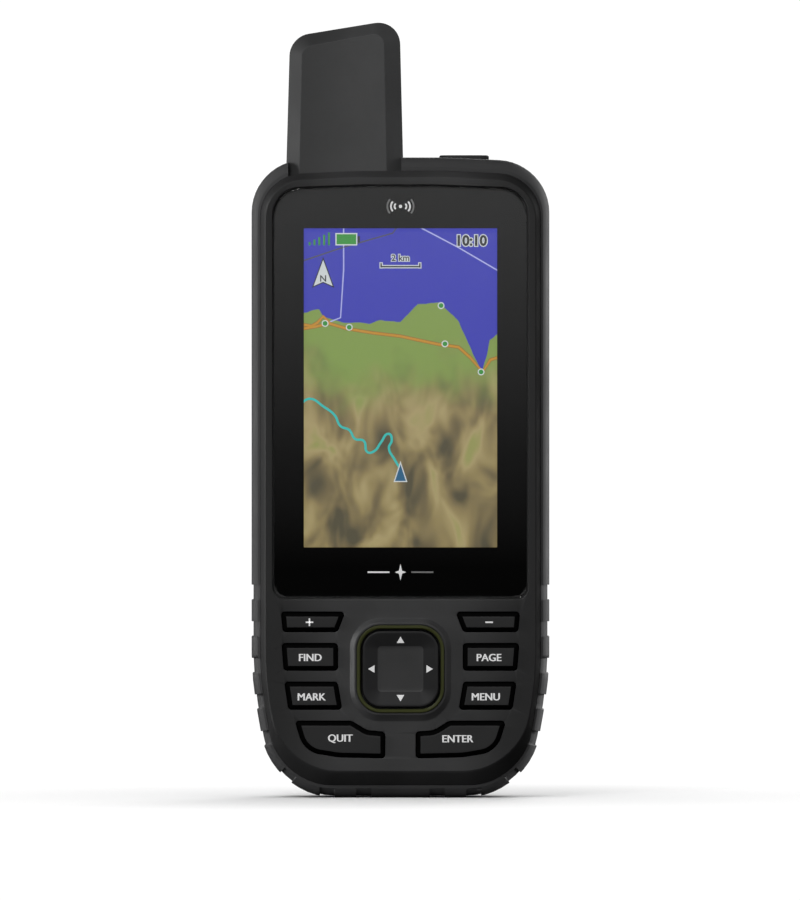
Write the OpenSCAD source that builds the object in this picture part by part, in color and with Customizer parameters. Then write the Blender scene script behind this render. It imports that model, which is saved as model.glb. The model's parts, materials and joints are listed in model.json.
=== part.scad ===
// Rugged handheld aviation GPS receiver: case, keypad, antenna, display and battery bay.
// Millimetres, +Z up the height, the screen faces -Y, the origin is below the middle.

/* [Case] */
// Width across the rubber band
case_w = 62.6; // [62:0.2:80]
// Height of the case without the antenna
case_h = 134.8; // [132:0.2:170]
// Half width of the flat foot, measured to where its sides would meet the floor
foot_half_w = 26.9; // [24:0.1:27]
// Height at which the leaning foot meets the straight sides
waist_z = 24.8; // [20:0.1:40]
// Radius of the two bottom corners
foot_r = 15.5; // [12:0.1:18]
// Radius of the two top corners
shoulder_r = 11; // [9:0.1:14]
// Rise of the top edge from the shoulders to the middle
crown_rise = 1.4; // [0.4:0.1:3]
// Wall of the housings
wall = 1.8; // [1.4:0.1:2.4]
// Wall of the back face
back_wall = 1.6; // [1.2:0.1:2.2]
// Inset of the back face from the outline
back_inset = 6; // [4:0.1:7]
// Length of the sloped shoulder round the back
back_slope = 7; // [5:0.1:9]
// Inset of the back shoulder from the rubber band
back_step = 0.6; // [0.3:0.1:1]

/* [Front] */
// Seam to outline at the sides
seam_side = 1.8; // [1.4:0.1:3]
// Seam to outline at the top
seam_top = 2.8; // [2:0.1:4]
// Seam to outline at the bottom
seam_foot = 2.6; // [2:0.1:4]
// Radius of the seam's bottom corners
seam_foot_r = 13.2; // [10:0.1:16]
// Front face edge to outline at the sides
face_side = 2.8; // [2.6:0.1:4]
// Front face edge to outline at the top
face_top = 4.1; // [3.6:0.1:5]
// Front face edge to outline at the bottom
face_foot = 5.5; // [4.5:0.1:7]
// Radius of the front face's bottom corners
face_foot_r = 14; // [10:0.1:16]
// Depth of the bevel from the front face to the seam
bevel_d = 2.8; // [2.4:0.1:4]
// Depth of the front housing's skirt inside the band
skirt_d = 1; // [0.9:0.1:2]
// Thickness of the keypad plate
plate_t = 1.8; // [1.4:0.1:2.4]
// Wall between the front housing's cavity and the seam
front_wall = 2.6; // [2.3:0.1:3]

/* [Grip] */
// Depth of the grooves between the ribs
rib_relief = 0.4; // [0.2:0.05:0.8]
// Height of one groove
groove_h = 3.2; // [2:0.1:4]
// Distance from one groove to the next
groove_pitch = 7.7; // [6:0.1:9]
// Number of grooves up each side
side_grooves = 5; // [3:1:7]
// Height of the lowest side groove
groove_z0 = 12.35; // [11:0.05:14]

/* [Screen] */
// Width of the glass lens
lens_w = 53.6; // [50:0.1:54]
// Height of the glass lens
lens_h = 87.4; // [80:0.1:88]
// Thickness of the glass lens
lens_t = 1.1; // [0.8:0.1:1.5]
// Radius of the lens's top corners
lens_top_r = 6; // [3:0.1:7]
// Radius of the lens's bottom corners
lens_foot_r = 2.8; // [1:0.1:5]
// Gap between the lens's top edge and the front face's top edge
lens_margin = 1.6; // [1.2:0.1:3]
// Width of the picture
picture_w = 40.6; // [36:0.1:41]
// Height of the picture
picture_h = 67; // [60:0.1:68]
// Lens bottom edge to picture bottom edge
picture_rise = 10.9; // [8:0.1:14]
// Frame of the display module round the picture
module_frame = 2; // [1:0.1:2.1]
// Thickness of the display module
module_t = 2.4; // [1.6:0.1:3]
// Thickness of the lens's adhesive gasket
gasket_t = 0.2; // [0.1:0.05:0.4]
// Width of the lens's adhesive gasket
gasket_w = 2.4; // [1:0.1:3]
// Ledge that carries the lens
ledge_t = 1.2; // [0.8:0.1:1.6]

/* [Keys] */
// Height of the rocker's middle
rocker_z = 27.1; // [26:0.1:28]
// Height of the keys over the front face
key_proud = 0.6; // [0.3:0.1:1]
// Travel of a key
key_travel = 0.6; // [0.4:0.1:1]
// Gap round a key in its well
key_gap = 0.15; // [0.1:0.05:0.3]
// Step between a key's side and its top face
key_step = 1; // [0.6:0.1:1.1]
// Thickness of a key's retaining flange
flange_t = 0.8; // [0.6:0.1:1.2]
// Reach of a key's retaining flange
flange_reach = 0.6; // [0.4:0.1:0.9]
// Side of the square olive ring
ring_side = 18.7; // [18:0.1:19.4]
// Stroke of the olive ring
ring_stroke = 0.9; // [0.6:0.1:1.2]
// Corner radius of the olive ring
ring_r = 5.3; // [3:0.1:6]
// Height of the rocker over the front face
rocker_proud = 1.2; // [0.8:0.1:1.6]
// Gap round the rocker
rocker_gap = 0.45; // [0.35:0.05:0.6]
// Radius of the rocker's pivot ball
ball_r = 1.5; // [1.2:0.1:1.6]
// Clearance of a running fit
fit = 0.05; // [0.03:0.01:0.08]

/* [Antenna] */
// Height of the antenna over the case
antenna_rise = 28.2; // [24:0.1:36]
// Width of the antenna at its foot
antenna_w = 25; // [22:0.1:26]
// Distance from the antenna's right side to the middle of the case
antenna_right = 0.8; // [-2:0.1:2]
// Taper of each side of the antenna
antenna_taper = 0.8; // [0.2:0.1:1.5]
// Fall of the antenna's tip from right to left
antenna_fall = 2.3; // [0:0.1:4]
// Corner radius of the antenna's tip
antenna_r = 4.6; // [3.5:0.1:6]
// Bevel round the antenna's faces
antenna_bevel = 2.6; // [1.5:0.1:3]
// Set back of the antenna's front face at its tip
antenna_lean = 1.8; // [0:0.1:2.2]
// Wall of the antenna cover
antenna_wall = 1.6; // [1.2:0.1:2]
// Radius of the antenna's helix former
former_r = 5.2; // [4:0.1:5.3]

/* [Battery bay] */
// Thickness of the battery pack
battery_t = 14; // [11:0.1:18]
// Width of the battery pack
battery_w = 40; // [34:0.1:41]
// Height of the battery pack
battery_h = 52; // [44:0.1:54]
// Bottom of the battery pack
battery_z = 28; // [27.8:0.1:28.6]
// Half width of the bay
bay_half_w = 21.8; // [21.5:0.1:21.9]
// Bottom of the bay
bay_z0 = 8.2; // [8:0.1:8.6]
// Top of the bay
bay_z1 = 82.8; // [82.4:0.1:90]
// Wall of the bay
bay_wall = 1.3; // [1:0.1:1.4]
// Reach of the battery cover past the bay
cover_lap = 1.8; // [1.6:0.1:1.9]
// Thickness of the battery cover
cover_t = 1.8; // [1.6:0.1:2.2]
// Gap round the battery cover
cover_gap = 0.15; // [0.1:0.05:0.3]

/* [Latch] */
// Height of the latch's axis
latch_z = 17; // [16.8:0.1:17.2]
// Radius of the latch's head
latch_r = 7.2; // [6.5:0.1:7.3]
// Radius of the latch's shaft in the cover
shaft_r = 2.5; // [2:0.1:3]
// Radius of the latch's neck in the keyhole
neck_r = 1.8; // [1.5:0.1:2]
// Radius of the D-ring's wire
wire_r = 0.8; // [0.6:0.05:0.9]
// Half length of the latch's tongue
tongue_reach = 6; // [5:0.1:6.2]
// Thickness of the latch's tongue
tongue_t = 1.6; // [1.2:0.1:2]

/* [Back] */
// Height of the mounting rail over the back
rail_h = 4.2; // [3.5:0.1:5]
// Width of the mounting rail's head
rail_w = 13; // [11:0.1:15]
// Width of the mounting rail's neck
rail_neck = 8; // [6:0.1:9]
// Length of the mounting rail
rail_l = 26; // [20:0.5:27]
// Case top to the middle of the socket row
socket_drop = 13.3; // [13:0.1:14]
// Width of the rubber socket cap
cap_w = 17; // [15:0.1:18]
// Height of the rubber socket cap
cap_h = 9; // [8:0.1:9.4]
// Radius of the torch lens
torch_r = 3; // [2:0.1:3.2]
// Length of the power button
power_l = 10.5; // [8:0.1:12]
// Width of the power button
power_w = 5.4; // [4:0.1:6]
// Distance from the middle of the case to the power button
power_x = 13.4; // [11:0.1:15]

/* [Hidden] */

$fn = 48;
arc_step = 10;          // degrees from one point of an outline's arc to the next
eps = 0.01;
gap = 0.3;              // between pieces that move past each other

// Depth, counted back from the front face
lens_seat = lens_t + gasket_t;
module_y = lens_seat + ledge_t;
flange_y = plate_t + 0.2;
membrane_y = flange_y + flange_t + key_travel + gap;
membrane_t = 0.6;
dome_t = 0.2;
key_board_t = 0.8;
key_board_y = membrane_y + membrane_t + dome_t;
frame_t = 1;
frame_y = max(key_board_y + key_board_t, module_y + module_t) + 0.3;
board_t = 1;
board_y = frame_y + frame_t + 1.4;
shield_t = 2.4;
floor_y = board_y + board_t + shield_t + 0.6;
floor_t = 1.2;
pack_y = floor_y + floor_t + gap;
back_y = pack_y + battery_t + gap + cover_t;
total_d = rocker_proud + back_y + rail_h;

// Places along Y in the object's own frame
function from_face(d) = rocker_proud - total_d / 2 + d;
y_face = from_face(0);
y_seam = from_face(bevel_d);
y_split = y_seam + skirt_d;
y_back = from_face(back_y);
y_band = y_back - back_slope;
y_inner = y_back - back_wall;
y_cover = y_back - cover_t;
y_rim = y_cover - 0.1;
y_board = from_face(board_y + board_t);   // back of the main board
y_floor = from_face(floor_y + floor_t);

half_w = case_w / 2;
lean = (half_w - foot_half_w) / waist_z;
waist_r = 60;
crown_r = 200;
crown_z = case_h + 0.15;

// Lens, picture and module
lens_z1 = case_h - face_top - lens_margin;
lens_z0 = lens_z1 - lens_h;
lens_crown = 1;         // rise of the lens's top edge at its middle
picture_z0 = lens_z0 + picture_rise;
window_margin = 0.9;    // picture to the edge of the housing's window
module_half_w = picture_w / 2 + module_frame;
module_z0 = picture_z0 - module_frame;
module_z1 = picture_z0 + picture_h + module_frame;
ribbon_half_w = 6;
ribbon_t = 0.2;

// Rocker
well_half = ring_side / 2 - ring_stroke;
pad_half = well_half - rocker_gap;
well_r = ring_r - ring_stroke;
pivot_y = from_face(key_board_y - 1.2);
collar_h = 0.8;
collar_slope = 1.1;
dish_half = 6.6;
dish_depth = 0.5;

// Antenna
antenna_x1 = antenna_right;
antenna_x0 = antenna_x1 - antenna_w;
antenna_y0 = y_seam + 0.4;
antenna_y1 = y_band - 0.1;
antenna_z1 = case_h + antenna_rise;
former_x = (antenna_x0 + antenna_x1) / 2;
former_y = (antenna_y0 + antenna_lean + antenna_y1) / 2;
former_z = case_h + 0.5;
former_h = antenna_rise - antenna_fall - antenna_wall - 3.5;

// Screws that join the housings, held to the side walls
boss_r = 1.6;
rear_boss_r = 2.4;
screw_r = 0.9;
head_r = 1.8;
head_h = 1.4;
boss_y = y_floor - floor_t - 0.6;
screw_x = half_w - seam_side - wall - boss_r - 0.2;
screw_head_y = y_band - 1.2;
screw_z = [lens_z0 + 2.3, (lens_z0 + case_h) / 2, case_h - 16];

// Keypad sheets
keypad_z0 = face_foot + 1.4;
keypad_z1 = lens_z0 - 1.6;

// Boards
board_half_w = screw_x - boss_r - 0.5;
board_z0 = 11;
board_z1 = case_h - 9;
standoff_r = 1.8;
standoff_x = board_half_w - standoff_r - 0.6;
board_screw_r = 0.8;
shield_z = [case_h * 0.36, case_h * 0.67];
shield_h = 24;
shield_half_w = 8.5;
shield_x = 10.5;
post_x = 10.5;
post_r = 1.3;
post_screw_r = 0.6;
post_screw_l = 4;
io_y = y_inner - 6.4;
io_z = case_h - socket_drop;
io_half_h = 6.6;
io_t = 0.8;
socket_x = 0;
torch_x = 17.5;
buzzer_x = -17.5;
buzzer_r = 4.6;
cap_t = 1.2;
plug_w = 11;
plug_h = 5;
plug_d = 1.4;

// Power button
power_y = (y_split + y_band) / 2;
power_proud = 0.8;
power_travel = 0.6;
power_flange = 0.9;
power_top = crown_z - crown_rise * power_x / half_w;
power_under = power_top - seam_top - wall - power_flange;

// Battery bay and latch
bay_foot_r = 8.2;
keyhole_half_w = neck_r + 0.4;
keyhole_reach = tongue_reach + 0.6;
ledge_y = y_rim - 7;
ledge_plate_t = 1.5;
ledge_half_w = 8.7;
ledge_h = latch_z + tongue_reach + 2.4;
recess_y = y_back - 2.6;
bush_t = 1.3;
ring_axis_y = y_back - wire_r;
ring_reach = latch_r - 2 * wire_r + 0.5;
saddle_half_w = 2.6;
head_t = 0.8;
y_head = recess_y + 0.1;
y_neck = recess_y - bush_t - gap;
y_tongue = ledge_y - ledge_plate_t - 0.4;
clip_t = 0.6;

// Memory card
card_w = 11;
card_l = 15;
card_t = 0.7;
card_x = -ledge_half_w - card_w / 2 - 0.7;
card_z0 = battery_z - 0.4 - card_l;

// Mounting rail
rail_z0 = bay_z1 + cover_lap + 4.4;
rail_neck_h = 1.9;

// ---- outlines in the XZ plane ----

function heading(c, i) =
    let (a = c[i % len(c)], b = c[(i + 1) % len(c)], v = [b[0] - a[0], b[1] - a[1]])
    v / norm(v);
function left_of(u) = [-u[1], u[0]];
function turned(v, t) = [v[0] * cos(t) - v[1] * sin(t), v[0] * sin(t) + v[1] * cos(t)];

// Points round one corner [x, z, radius], after every side has moved inwards by d
function corner_points(c, i, d) =
    let (
        u = heading(c, i + len(c) - 1),
        v = heading(c, i),
        n = left_of(u),
        m = left_of(v),
        turn = atan2(cross(u, v), u * v),
        side = turn < 0 ? -1 : 1,
        r = max(c[i][2] - side * d, 0.05),
        tip = [c[i][0], c[i][1]] + d * (n + m) / (1 + n * m),
        start = tip - u * r * tan(abs(turn) / 2),
        centre = start + n * side * r,
        steps = max(1, ceil(abs(turn) / arc_step))
    )
    [for (k = [0 : steps]) centre + turned((start - centre), turn * k / steps)];

function rounded(c, d = 0) = [for (i = [0 : len(c) - 1]) each corner_points(c, i, d)];

// Corners of the case's outline with the given margins, anticlockwise
function case_corners(side = 0, top = 0, foot = 0, foot_radius = foot_r, margin = 0) =
    let (
        x0 = foot_half_w - side + foot * lean,
        x1 = half_w - side,
        z1 = crown_z - crown_rise - top,
        r1 = shoulder_r - margin
    )
    [[x0, foot, foot_radius], [x1, waist_z, waist_r], [x1, z1, r1],
     [0, crown_z - top, crown_r],
     [-x1, z1, r1], [-x1, waist_z, waist_r], [-x0, foot, foot_radius]];

seam_corners = case_corners(seam_side, seam_top, seam_foot, seam_foot_r, seam_side);
face_corners = case_corners(face_side, face_top, face_foot, face_foot_r, face_side);

// A rectangle from (x0, z0) to (x1, z1) with bottom and top corner radii
function box_corners(x0, z0, x1, z1, r0, r1) =
    [[x0, z0, r0], [x1, z0, r0], [x1, z1, r1], [x0, z1, r1]];

function square_corners(half, r) =
    box_corners(-half, rocker_z - half, half, rocker_z + half, r, r);

lens_corners = [[-lens_w / 2, lens_z0, lens_foot_r], [lens_w / 2, lens_z0, lens_foot_r],
    [lens_w / 2, lens_z1 - lens_crown, lens_top_r], [0, lens_z1, crown_r],
    [-lens_w / 2, lens_z1 - lens_crown, lens_top_r]];

bay_corners = box_corners(-bay_half_w, bay_z0, bay_half_w, bay_z1, bay_foot_r, 2);
cover_corners = box_corners(-bay_half_w - cover_lap, bay_z0 - cover_lap + 0.2,
    bay_half_w + cover_lap, bay_z1 + cover_lap, bay_foot_r + cover_lap, 4);

// Wells of the left-hand keys, placed from the rocker's middle; the right-hand ones mirror them
function from_rocker(list) = [for (p = list) [p[0], rocker_z + p[1], p[2]]];
plus_corners = from_rocker([[-24.7, 7.7, 0.8], [-13.2, 7.7, 1], [-11.5, 12, 0.8],
    [-25.1, 12, 0.8]]);
find_corners = from_rocker([[-24.5, -0.4, 0.8], [-13.1, -0.4, 0.8], [-13.1, 5.4, 0.8],
    [-24.95, 5.4, 0.8]]);
mark_corners = from_rocker([[-23.5, -8.6, 0.8], [-12.2, -8.6, 0.8], [-13.2, -2.7, 0.8],
    [-24.4, -2.7, 0.8]]);
quit_corners = from_rocker([[-13, -18.6, 14], [-3.2, -18.8, 0.8], [-3.2, -13.2, 0.8],
    [-7, -12.9, 3], [-10.2, -10.9, 2], [-22.2, -10.9, 0.8], [-20.2, -17.4, 5]]);

// ---- helpers ----

// A slab of an XZ outline from y0 back to y1
module slab(y0, y1) {
    translate([0, y1, 0]) rotate([90, 0, 0]) linear_extrude(y1 - y0) children();
}

module outline(corners, d = 0) {
    polygon(rounded(corners, d));
}

// A box from one corner to the other
module block(low, high) {
    translate(low) cube(high - low);
}

// A round bar along Y
module bar(x, z, r, y0, y1) {
    translate([x, y0, z]) rotate([-90, 0, 0]) cylinder(r = r, h = y1 - y0);
}

// A round bar along X
module cross_bar(x0, x1, y, z, r) {
    translate([x0, y, z]) rotate([0, 90, 0]) cylinder(r = r, h = x1 - x0);
}

module screw_places() {
    for (side = [-1, 1], z = screw_z) translate([side * screw_x, 0, z]) children();
}

// ---- case ----

// The front housing's outer form: a bevelled slab over a short skirt
module front_form() {
    hull() {
        slab(y_face, y_face + eps) outline(face_corners);
        slab(y_seam - eps, y_seam) outline(seam_corners);
    }
    slab(y_seam - eps, y_split) outline(seam_corners);
}

module rocker_collar() {
    hull() {
        slab(y_face - collar_h, y_face - collar_h + eps)
            outline(square_corners(ring_side / 2 + 0.3, ring_r));
        slab(y_face, y_face + eps)
            outline(square_corners(ring_side / 2 + 0.3 + collar_slope, ring_r + 1));
    }
}

module seal_ring() {
    difference() {
        outline(seam_corners, 0.9);
        outline(seam_corners, 1.6);
    }
}

module key_wells() {
    for (side = [0, 1]) mirror([side, 0, 0]) {
        for (corners = [plus_corners, find_corners, mark_corners, quit_corners])
            slab(y_face - 1, y_face + plate_t + 1) outline(corners);
    }
}

module front_housing() {
    color("#2e2e2f") difference() {
        union() {
            difference() {
                front_form();
                slab(from_face(plate_t), y_split + 1) outline(seam_corners, front_wall);
            }
            rocker_collar();
            slab(from_face(lens_seat), from_face(module_y))
                intersection() {
                    outline(seam_corners, front_wall - eps);
                    translate([-half_w, lens_z0 - 1.5]) square([case_w, lens_h + 9]);
                }
            screw_places() bar(0, 0, boss_r, from_face(plate_t) - eps, boss_y);
        }
        slab(y_face - 1, from_face(lens_seat)) outline(lens_corners, -0.1);
        slab(y_face, from_face(module_y) + 1)
            outline(box_corners(-picture_w / 2 - window_margin, picture_z0 - window_margin,
                picture_w / 2 + window_margin, picture_z0 + picture_h + window_margin,
                0.5, 0.5));
        key_wells();
        slab(y_face - 2, from_face(plate_t) + 1) outline(square_corners(well_half, well_r));
        slab(y_face - collar_h - 1, y_face - 0.3) outline(square_corners(ring_side / 2, ring_r));
        slab(y_split - 0.7, y_split + 1) seal_ring();
        screw_places() bar(0, 0, screw_r + 0.02, from_face(module_y) + 1, boss_y + 1);
    }
}

// The rear housing's sloped back, which the battery cover completes
module back_form() {
    hull() {
        slab(y_band, y_band + eps) outline(case_corners(), back_step);
        slab(y_back - eps, y_back) outline(case_corners(), back_inset);
    }
}

module rear_cavity() {
    slab(y_split - 1, y_band) outline(seam_corners, wall);
    hull() {
        slab(y_band - eps, y_band) outline(seam_corners, wall);
        slab(y_inner - eps, y_inner) outline(case_corners(), back_inset + wall);
    }
}

module bay_space() {
    slab(y_floor, y_back + 1) outline(bay_corners);
}

// The bridge inside the bay whose keyhole holds the latch's tongue
module latch_bridge() {
    difference() {
        block([-ledge_half_w, y_floor - eps, bay_z0 - bay_wall],
              [ledge_half_w, ledge_y, ledge_h]);
        block([1 - ledge_half_w, y_floor, bay_z0],
              [ledge_half_w - 1, ledge_y - ledge_plate_t, ledge_h + 1]);
        slab(ledge_y - 3, ledge_y + 1) outline(box_corners(-keyhole_half_w,
            latch_z - keyhole_reach, keyhole_half_w, latch_z + keyhole_reach, 0.4, 0.4));
    }
}

module power_opening(grow) {
    translate([power_x, power_y, case_h - 12]) linear_extrude(20)
        polygon(rounded([
            [-power_l / 2 - grow, -power_w / 2 - grow, power_w / 2.2],
            [power_l / 2 + grow, -power_w / 2 - grow, power_w / 2.2],
            [power_l / 2 + grow, power_w / 2 + grow, power_w / 2.2],
            [-power_l / 2 - grow, power_w / 2 + grow, power_w / 2.2]]));
}

module mounting_rail() {
    slab(y_back - eps, y_back + rail_neck_h + eps) outline(box_corners(-rail_neck / 2,
        rail_z0 + 2, rail_neck / 2, rail_z0 + rail_l - 2, 1.5, 1.5));
    slab(y_back + rail_neck_h, y_back + rail_h) outline(box_corners(-rail_w / 2,
        rail_z0, rail_w / 2, rail_z0 + rail_l, 2, 3));
}

module cap_recess(grow) {
    outline(box_corners(socket_x - cap_w / 2 - grow, io_z - cap_h / 2 - grow,
        socket_x + cap_w / 2 + grow, io_z + cap_h / 2 + grow, 2, 2));
}

module rear_housing() {
    color("#262627") difference() {
        union() {
            difference() {
                union() {
                    slab(y_split, y_band + eps) outline(seam_corners);
                    back_form();
                }
                rear_cavity();
            }
            slab(y_floor - floor_t, y_cover) outline(bay_corners, -bay_wall);
            screw_places() bar(0, 0, rear_boss_r, boss_y, y_band + 1.5);
            slab(y_inner - 1.5, y_inner + eps) cap_recess(1.2);
            post_places() bar(0, 0, post_r, io_y + io_t, y_inner + eps);
            mounting_rail();
        }
        difference() {
            bay_space();
            latch_bridge();
        }
        slab(y_rim, y_back + 1) outline(cover_corners, -cover_gap);
        screw_places() {
            bar(0, 0, screw_r + 0.2, boss_y - 1, y_back);
            bar(0, 0, head_r + 0.2, screw_head_y, y_back);
        }
        post_places() bar(0, 0, post_screw_r + 0.02, io_y, io_y + post_screw_l + 0.1);
        slab(y_back - cap_t - 0.1, y_back + 1) cap_recess(0.1);
        block([socket_x - plug_w / 2 - gap, io_y, io_z - plug_h / 2 - gap],
              [socket_x + plug_w / 2 + gap, y_back, io_z + plug_h / 2 + gap]);
        bar(torch_x, io_z, torch_r, y_inner - 1, y_back + 1);
        for (row = [-1, 0, 1])
            block([buzzer_x - 3, y_inner - 1, io_z + 2 * row - 0.4],
                  [buzzer_x + 3, y_back + 1, io_z + 2 * row + 0.4]);
        bar(torch_x, rail_z0 + rail_l / 2, 0.75, y_inner - 1, y_back + 1);
        power_opening(key_gap);
        block([former_x - former_r, former_y - former_r, case_h - 10],
              [former_x + former_r, former_y + former_r, case_h + 1]);
    }
}

// Grooves in the band's outer face: up the sides, round the corners and under the foot
module grooves() {
    for (side = [-1, 1]) {
        for (i = [0 : side_grooves - 1])
            translate([side * half_w, groove_z0 + i * groove_pitch])
                square([4, groove_h], center = true);
        for (i = [1, 2])
            translate([side * i * groove_pitch, 0]) square([groove_h, 3], center = true);
        translate([side * (foot_half_w - foot_r * tan(40)), foot_r])
            rotate(side > 0 ? -48 : 228) translate([foot_r, 0])
                square([3, groove_h], center = true);
    }
}

module grip_band() {
    color("#343435") difference() {
        slab(y_seam, y_band) difference() {
            outline(case_corners());
            difference() {
                grooves();
                outline(case_corners(), rib_relief);
            }
            outline(seam_corners);
        }
        block([antenna_x0 - 0.1, y_seam - 1, case_h - 15],
              [antenna_x1 + 0.1, y_band + 1, case_h + 5]);
        power_opening(key_gap);
    }
}

module housing_seal() {
    color("#3a4a3a") slab(y_split - 0.7, y_split) seal_ring();
}

module housing_screws() {
    color("silver") screw_places() {
        bar(0, 0, screw_r, from_face(module_y) + 1.2, screw_head_y + eps);
        difference() {
            bar(0, 0, head_r, screw_head_y, screw_head_y + head_h);
            slab(screw_head_y + 0.6, screw_head_y + head_h + 1) circle(r = 0.8, $fn = 6);
        }
    }
}

// ---- antenna ----

// The antenna's bevelled, tapered form, every side moved inwards by s
module antenna_form(s) {
    z0 = case_h - 9;
    left = [antenna_x0 + antenna_taper + antenna_r, antenna_z1 - antenna_fall - antenna_r];
    right = [antenna_x1 - antenna_taper - antenna_r, antenna_z1 - antenna_r];
    y0 = antenna_y0 + antenna_lean;
    y1 = antenna_y1 - antenna_taper;
    b = antenna_bevel;
    hull() {
        block([antenna_x0 + s, antenna_y0 + b, z0], [antenna_x1 - s, antenna_y1 - b, z0 + 1]);
        block([antenna_x0 + b + s / 2, antenna_y0 + s, z0],
              [antenna_x1 - b - s / 2, antenna_y1 - s, z0 + 1]);
        for (c = [left, right]) {
            bar(c[0], c[1], antenna_r - s, y0 + b, y1 - b, $fn = 32);
            bar(c[0], c[1], max(antenna_r - b - s, 0.3), y0 + s, y1 - s, $fn = 32);
        }
    }
}

module antenna_cover() {
    color("#373839") difference() {
        antenna_form(0);
        antenna_form(antenna_wall);
        slab(y_seam - 1, y_band + 1) outline(seam_corners);
        block([antenna_x0 - 1, antenna_y0 - 1, case_h - 20],
              [antenna_x1 + 1, antenna_y1 + 1, case_h - 8]);
    }
}

module antenna_former() {
    color("ivory") translate([former_x, former_y, former_z]) difference() {
        cylinder(r = former_r, h = former_h);
        translate([0, 0, -1]) cylinder(r = former_r - 1, h = former_h + 2);
    }
}

module antenna_helix() {
    strip_w = 1.6;
    color("peru") translate([former_x, former_y, former_z + 1])
        linear_extrude(former_h - 2, twist = -180, slices = 24, $fn = 4)
            for (i = [0 : 3]) rotate(90 * i)
                translate([former_r + 0.1, -strip_w / 2]) square([0.25, strip_w]);
}

module antenna_feed() {
    tab_half_w = 1.5;
    color("darkgreen") {
        translate([former_x, former_y, former_z - 1.2]) cylinder(r = former_r, h = 1.2);
        block([former_x - tab_half_w, y_board, case_h - 14],
              [former_x + tab_half_w, y_board + 0.4, former_z - 0.6]);
        block([former_x - tab_half_w, y_board, former_z - 1.2],
              [former_x + tab_half_w, former_y, former_z - 0.6]);
    }
}

// ---- display ----

module display_lens() {
    color("#0c0c0d") slab(y_face, from_face(lens_t)) outline(lens_corners);
}

module lens_gasket() {
    color("black") slab(from_face(lens_t), from_face(lens_seat)) difference() {
        outline(lens_corners, 0.3);
        outline(lens_corners, 0.3 + gasket_w);
    }
}

module display_module() {
    color("slateblue") slab(from_face(module_y), from_face(module_y + module_t))
        outline(box_corners(-module_half_w, module_z0, module_half_w, module_z1, 0.8, 0.8));
}

module display_ribbon() {
    color("orange") block([-ribbon_half_w, from_face(module_y + 1), module_z0 - ribbon_t],
        [ribbon_half_w, from_face(board_y), module_z0]);
}

// ---- keypad ----

module key(corners, side) {
    y_top = y_face - key_proud;
    y_flange = from_face(flange_y);
    color("#2a2a2b") mirror([side, 0, 0]) {
        slab(y_top, y_top + 0.5 + eps) outline(corners, key_gap + key_step);
        slab(y_top + 0.5, y_flange + eps) outline(corners, key_gap);
        slab(y_flange, y_flange + flange_t) outline(corners, -flange_reach);
    }
}

module key_plus() { key(plus_corners, 0); }
module key_minus() { key(plus_corners, 1); }
module key_find() { key(find_corners, 0); }
module key_page() { key(find_corners, 1); }
module key_mark() { key(mark_corners, 0); }
module key_menu() { key(mark_corners, 1); }
module key_quit() { key(quit_corners, 0); }
module key_enter() { key(quit_corners, 1); }

module rocker_ring() {
    color("#5a612c") slab(y_face - 1, y_face - 0.3) difference() {
        outline(square_corners(ring_side / 2, ring_r));
        outline(square_corners(well_half, well_r));
    }
}

module rocker_pad() {
    y_top = y_face - rocker_proud;
    dish_r = (dish_half * dish_half + dish_depth * dish_depth) / (2 * dish_depth);
    color("#333334") difference() {
        union() {
            slab(y_top, pivot_y - 0.3) outline(square_corners(pad_half, well_r - rocker_gap));
            slab(pivot_y - 0.85, pivot_y - 0.3) outline(square_corners(well_half + 0.5, 5));
        }
        translate([0, y_top + dish_depth - dish_r, rocker_z]) sphere(dish_r, $fn = 96);
        translate([0, pivot_y, rocker_z]) sphere(ball_r + fit);
    }
}

module rocker_pivot() {
    color("gainsboro") translate([0, pivot_y, rocker_z]) sphere(ball_r);
}

// A flat piece inside the case between two heights, clear of the walls and bosses
module inner_sheet(y0, t, z0, z1) {
    slab(y0, y0 + t) intersection() {
        outline(seam_corners, front_wall + 1);
        translate([-board_half_w, z0]) square([2 * board_half_w, z1 - z0]);
    }
}

module keypad_membrane() {
    color("dimgray") difference() {
        inner_sheet(from_face(membrane_y), membrane_t, keypad_z0, keypad_z1);
        bar(0, rocker_z, ball_r + gap, y_face, y_floor);
    }
}

module dome_sheet() {
    color("lightsteelblue") difference() {
        inner_sheet(from_face(membrane_y + membrane_t), dome_t, keypad_z0, keypad_z1);
        bar(0, rocker_z, ball_r + gap, y_face, y_floor);
    }
}

module key_board() {
    color("green") difference() {
        inner_sheet(from_face(key_board_y), key_board_t, keypad_z0, keypad_z1);
        translate([0, pivot_y, rocker_z]) sphere(ball_r + fit);
    }
}

// ---- boards ----

module standoff_places() {
    for (side = [-1, 1], z = [board_z0 + 12, board_z1 - 4])
        translate([side * standoff_x, 0, z]) children();
}

module post_places() {
    for (side = [-1, 1]) translate([side * post_x, 0, io_z - 5]) children();
}

module inner_frame() {
    y0 = from_face(frame_y);
    color("gray") difference() {
        union() {
            inner_sheet(y0, frame_t, board_z0, board_z1);
            standoff_places() bar(0, 0, standoff_r, y0, from_face(board_y));
        }
        standoff_places() bar(0, 0, board_screw_r + 0.02, y0 - 1, y_board);
        block([-ribbon_half_w - 1, y0 - 1, module_z0 - 1],
              [ribbon_half_w + 1, y0 + 2, module_z0 + 1]);
    }
}

module main_board() {
    color("seagreen") difference() {
        inner_sheet(from_face(board_y), board_t, board_z0, board_z1);
        standoff_places() bar(0, 0, board_screw_r + 0.05, from_face(board_y) - 1, y_board + 1);
    }
}

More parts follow.
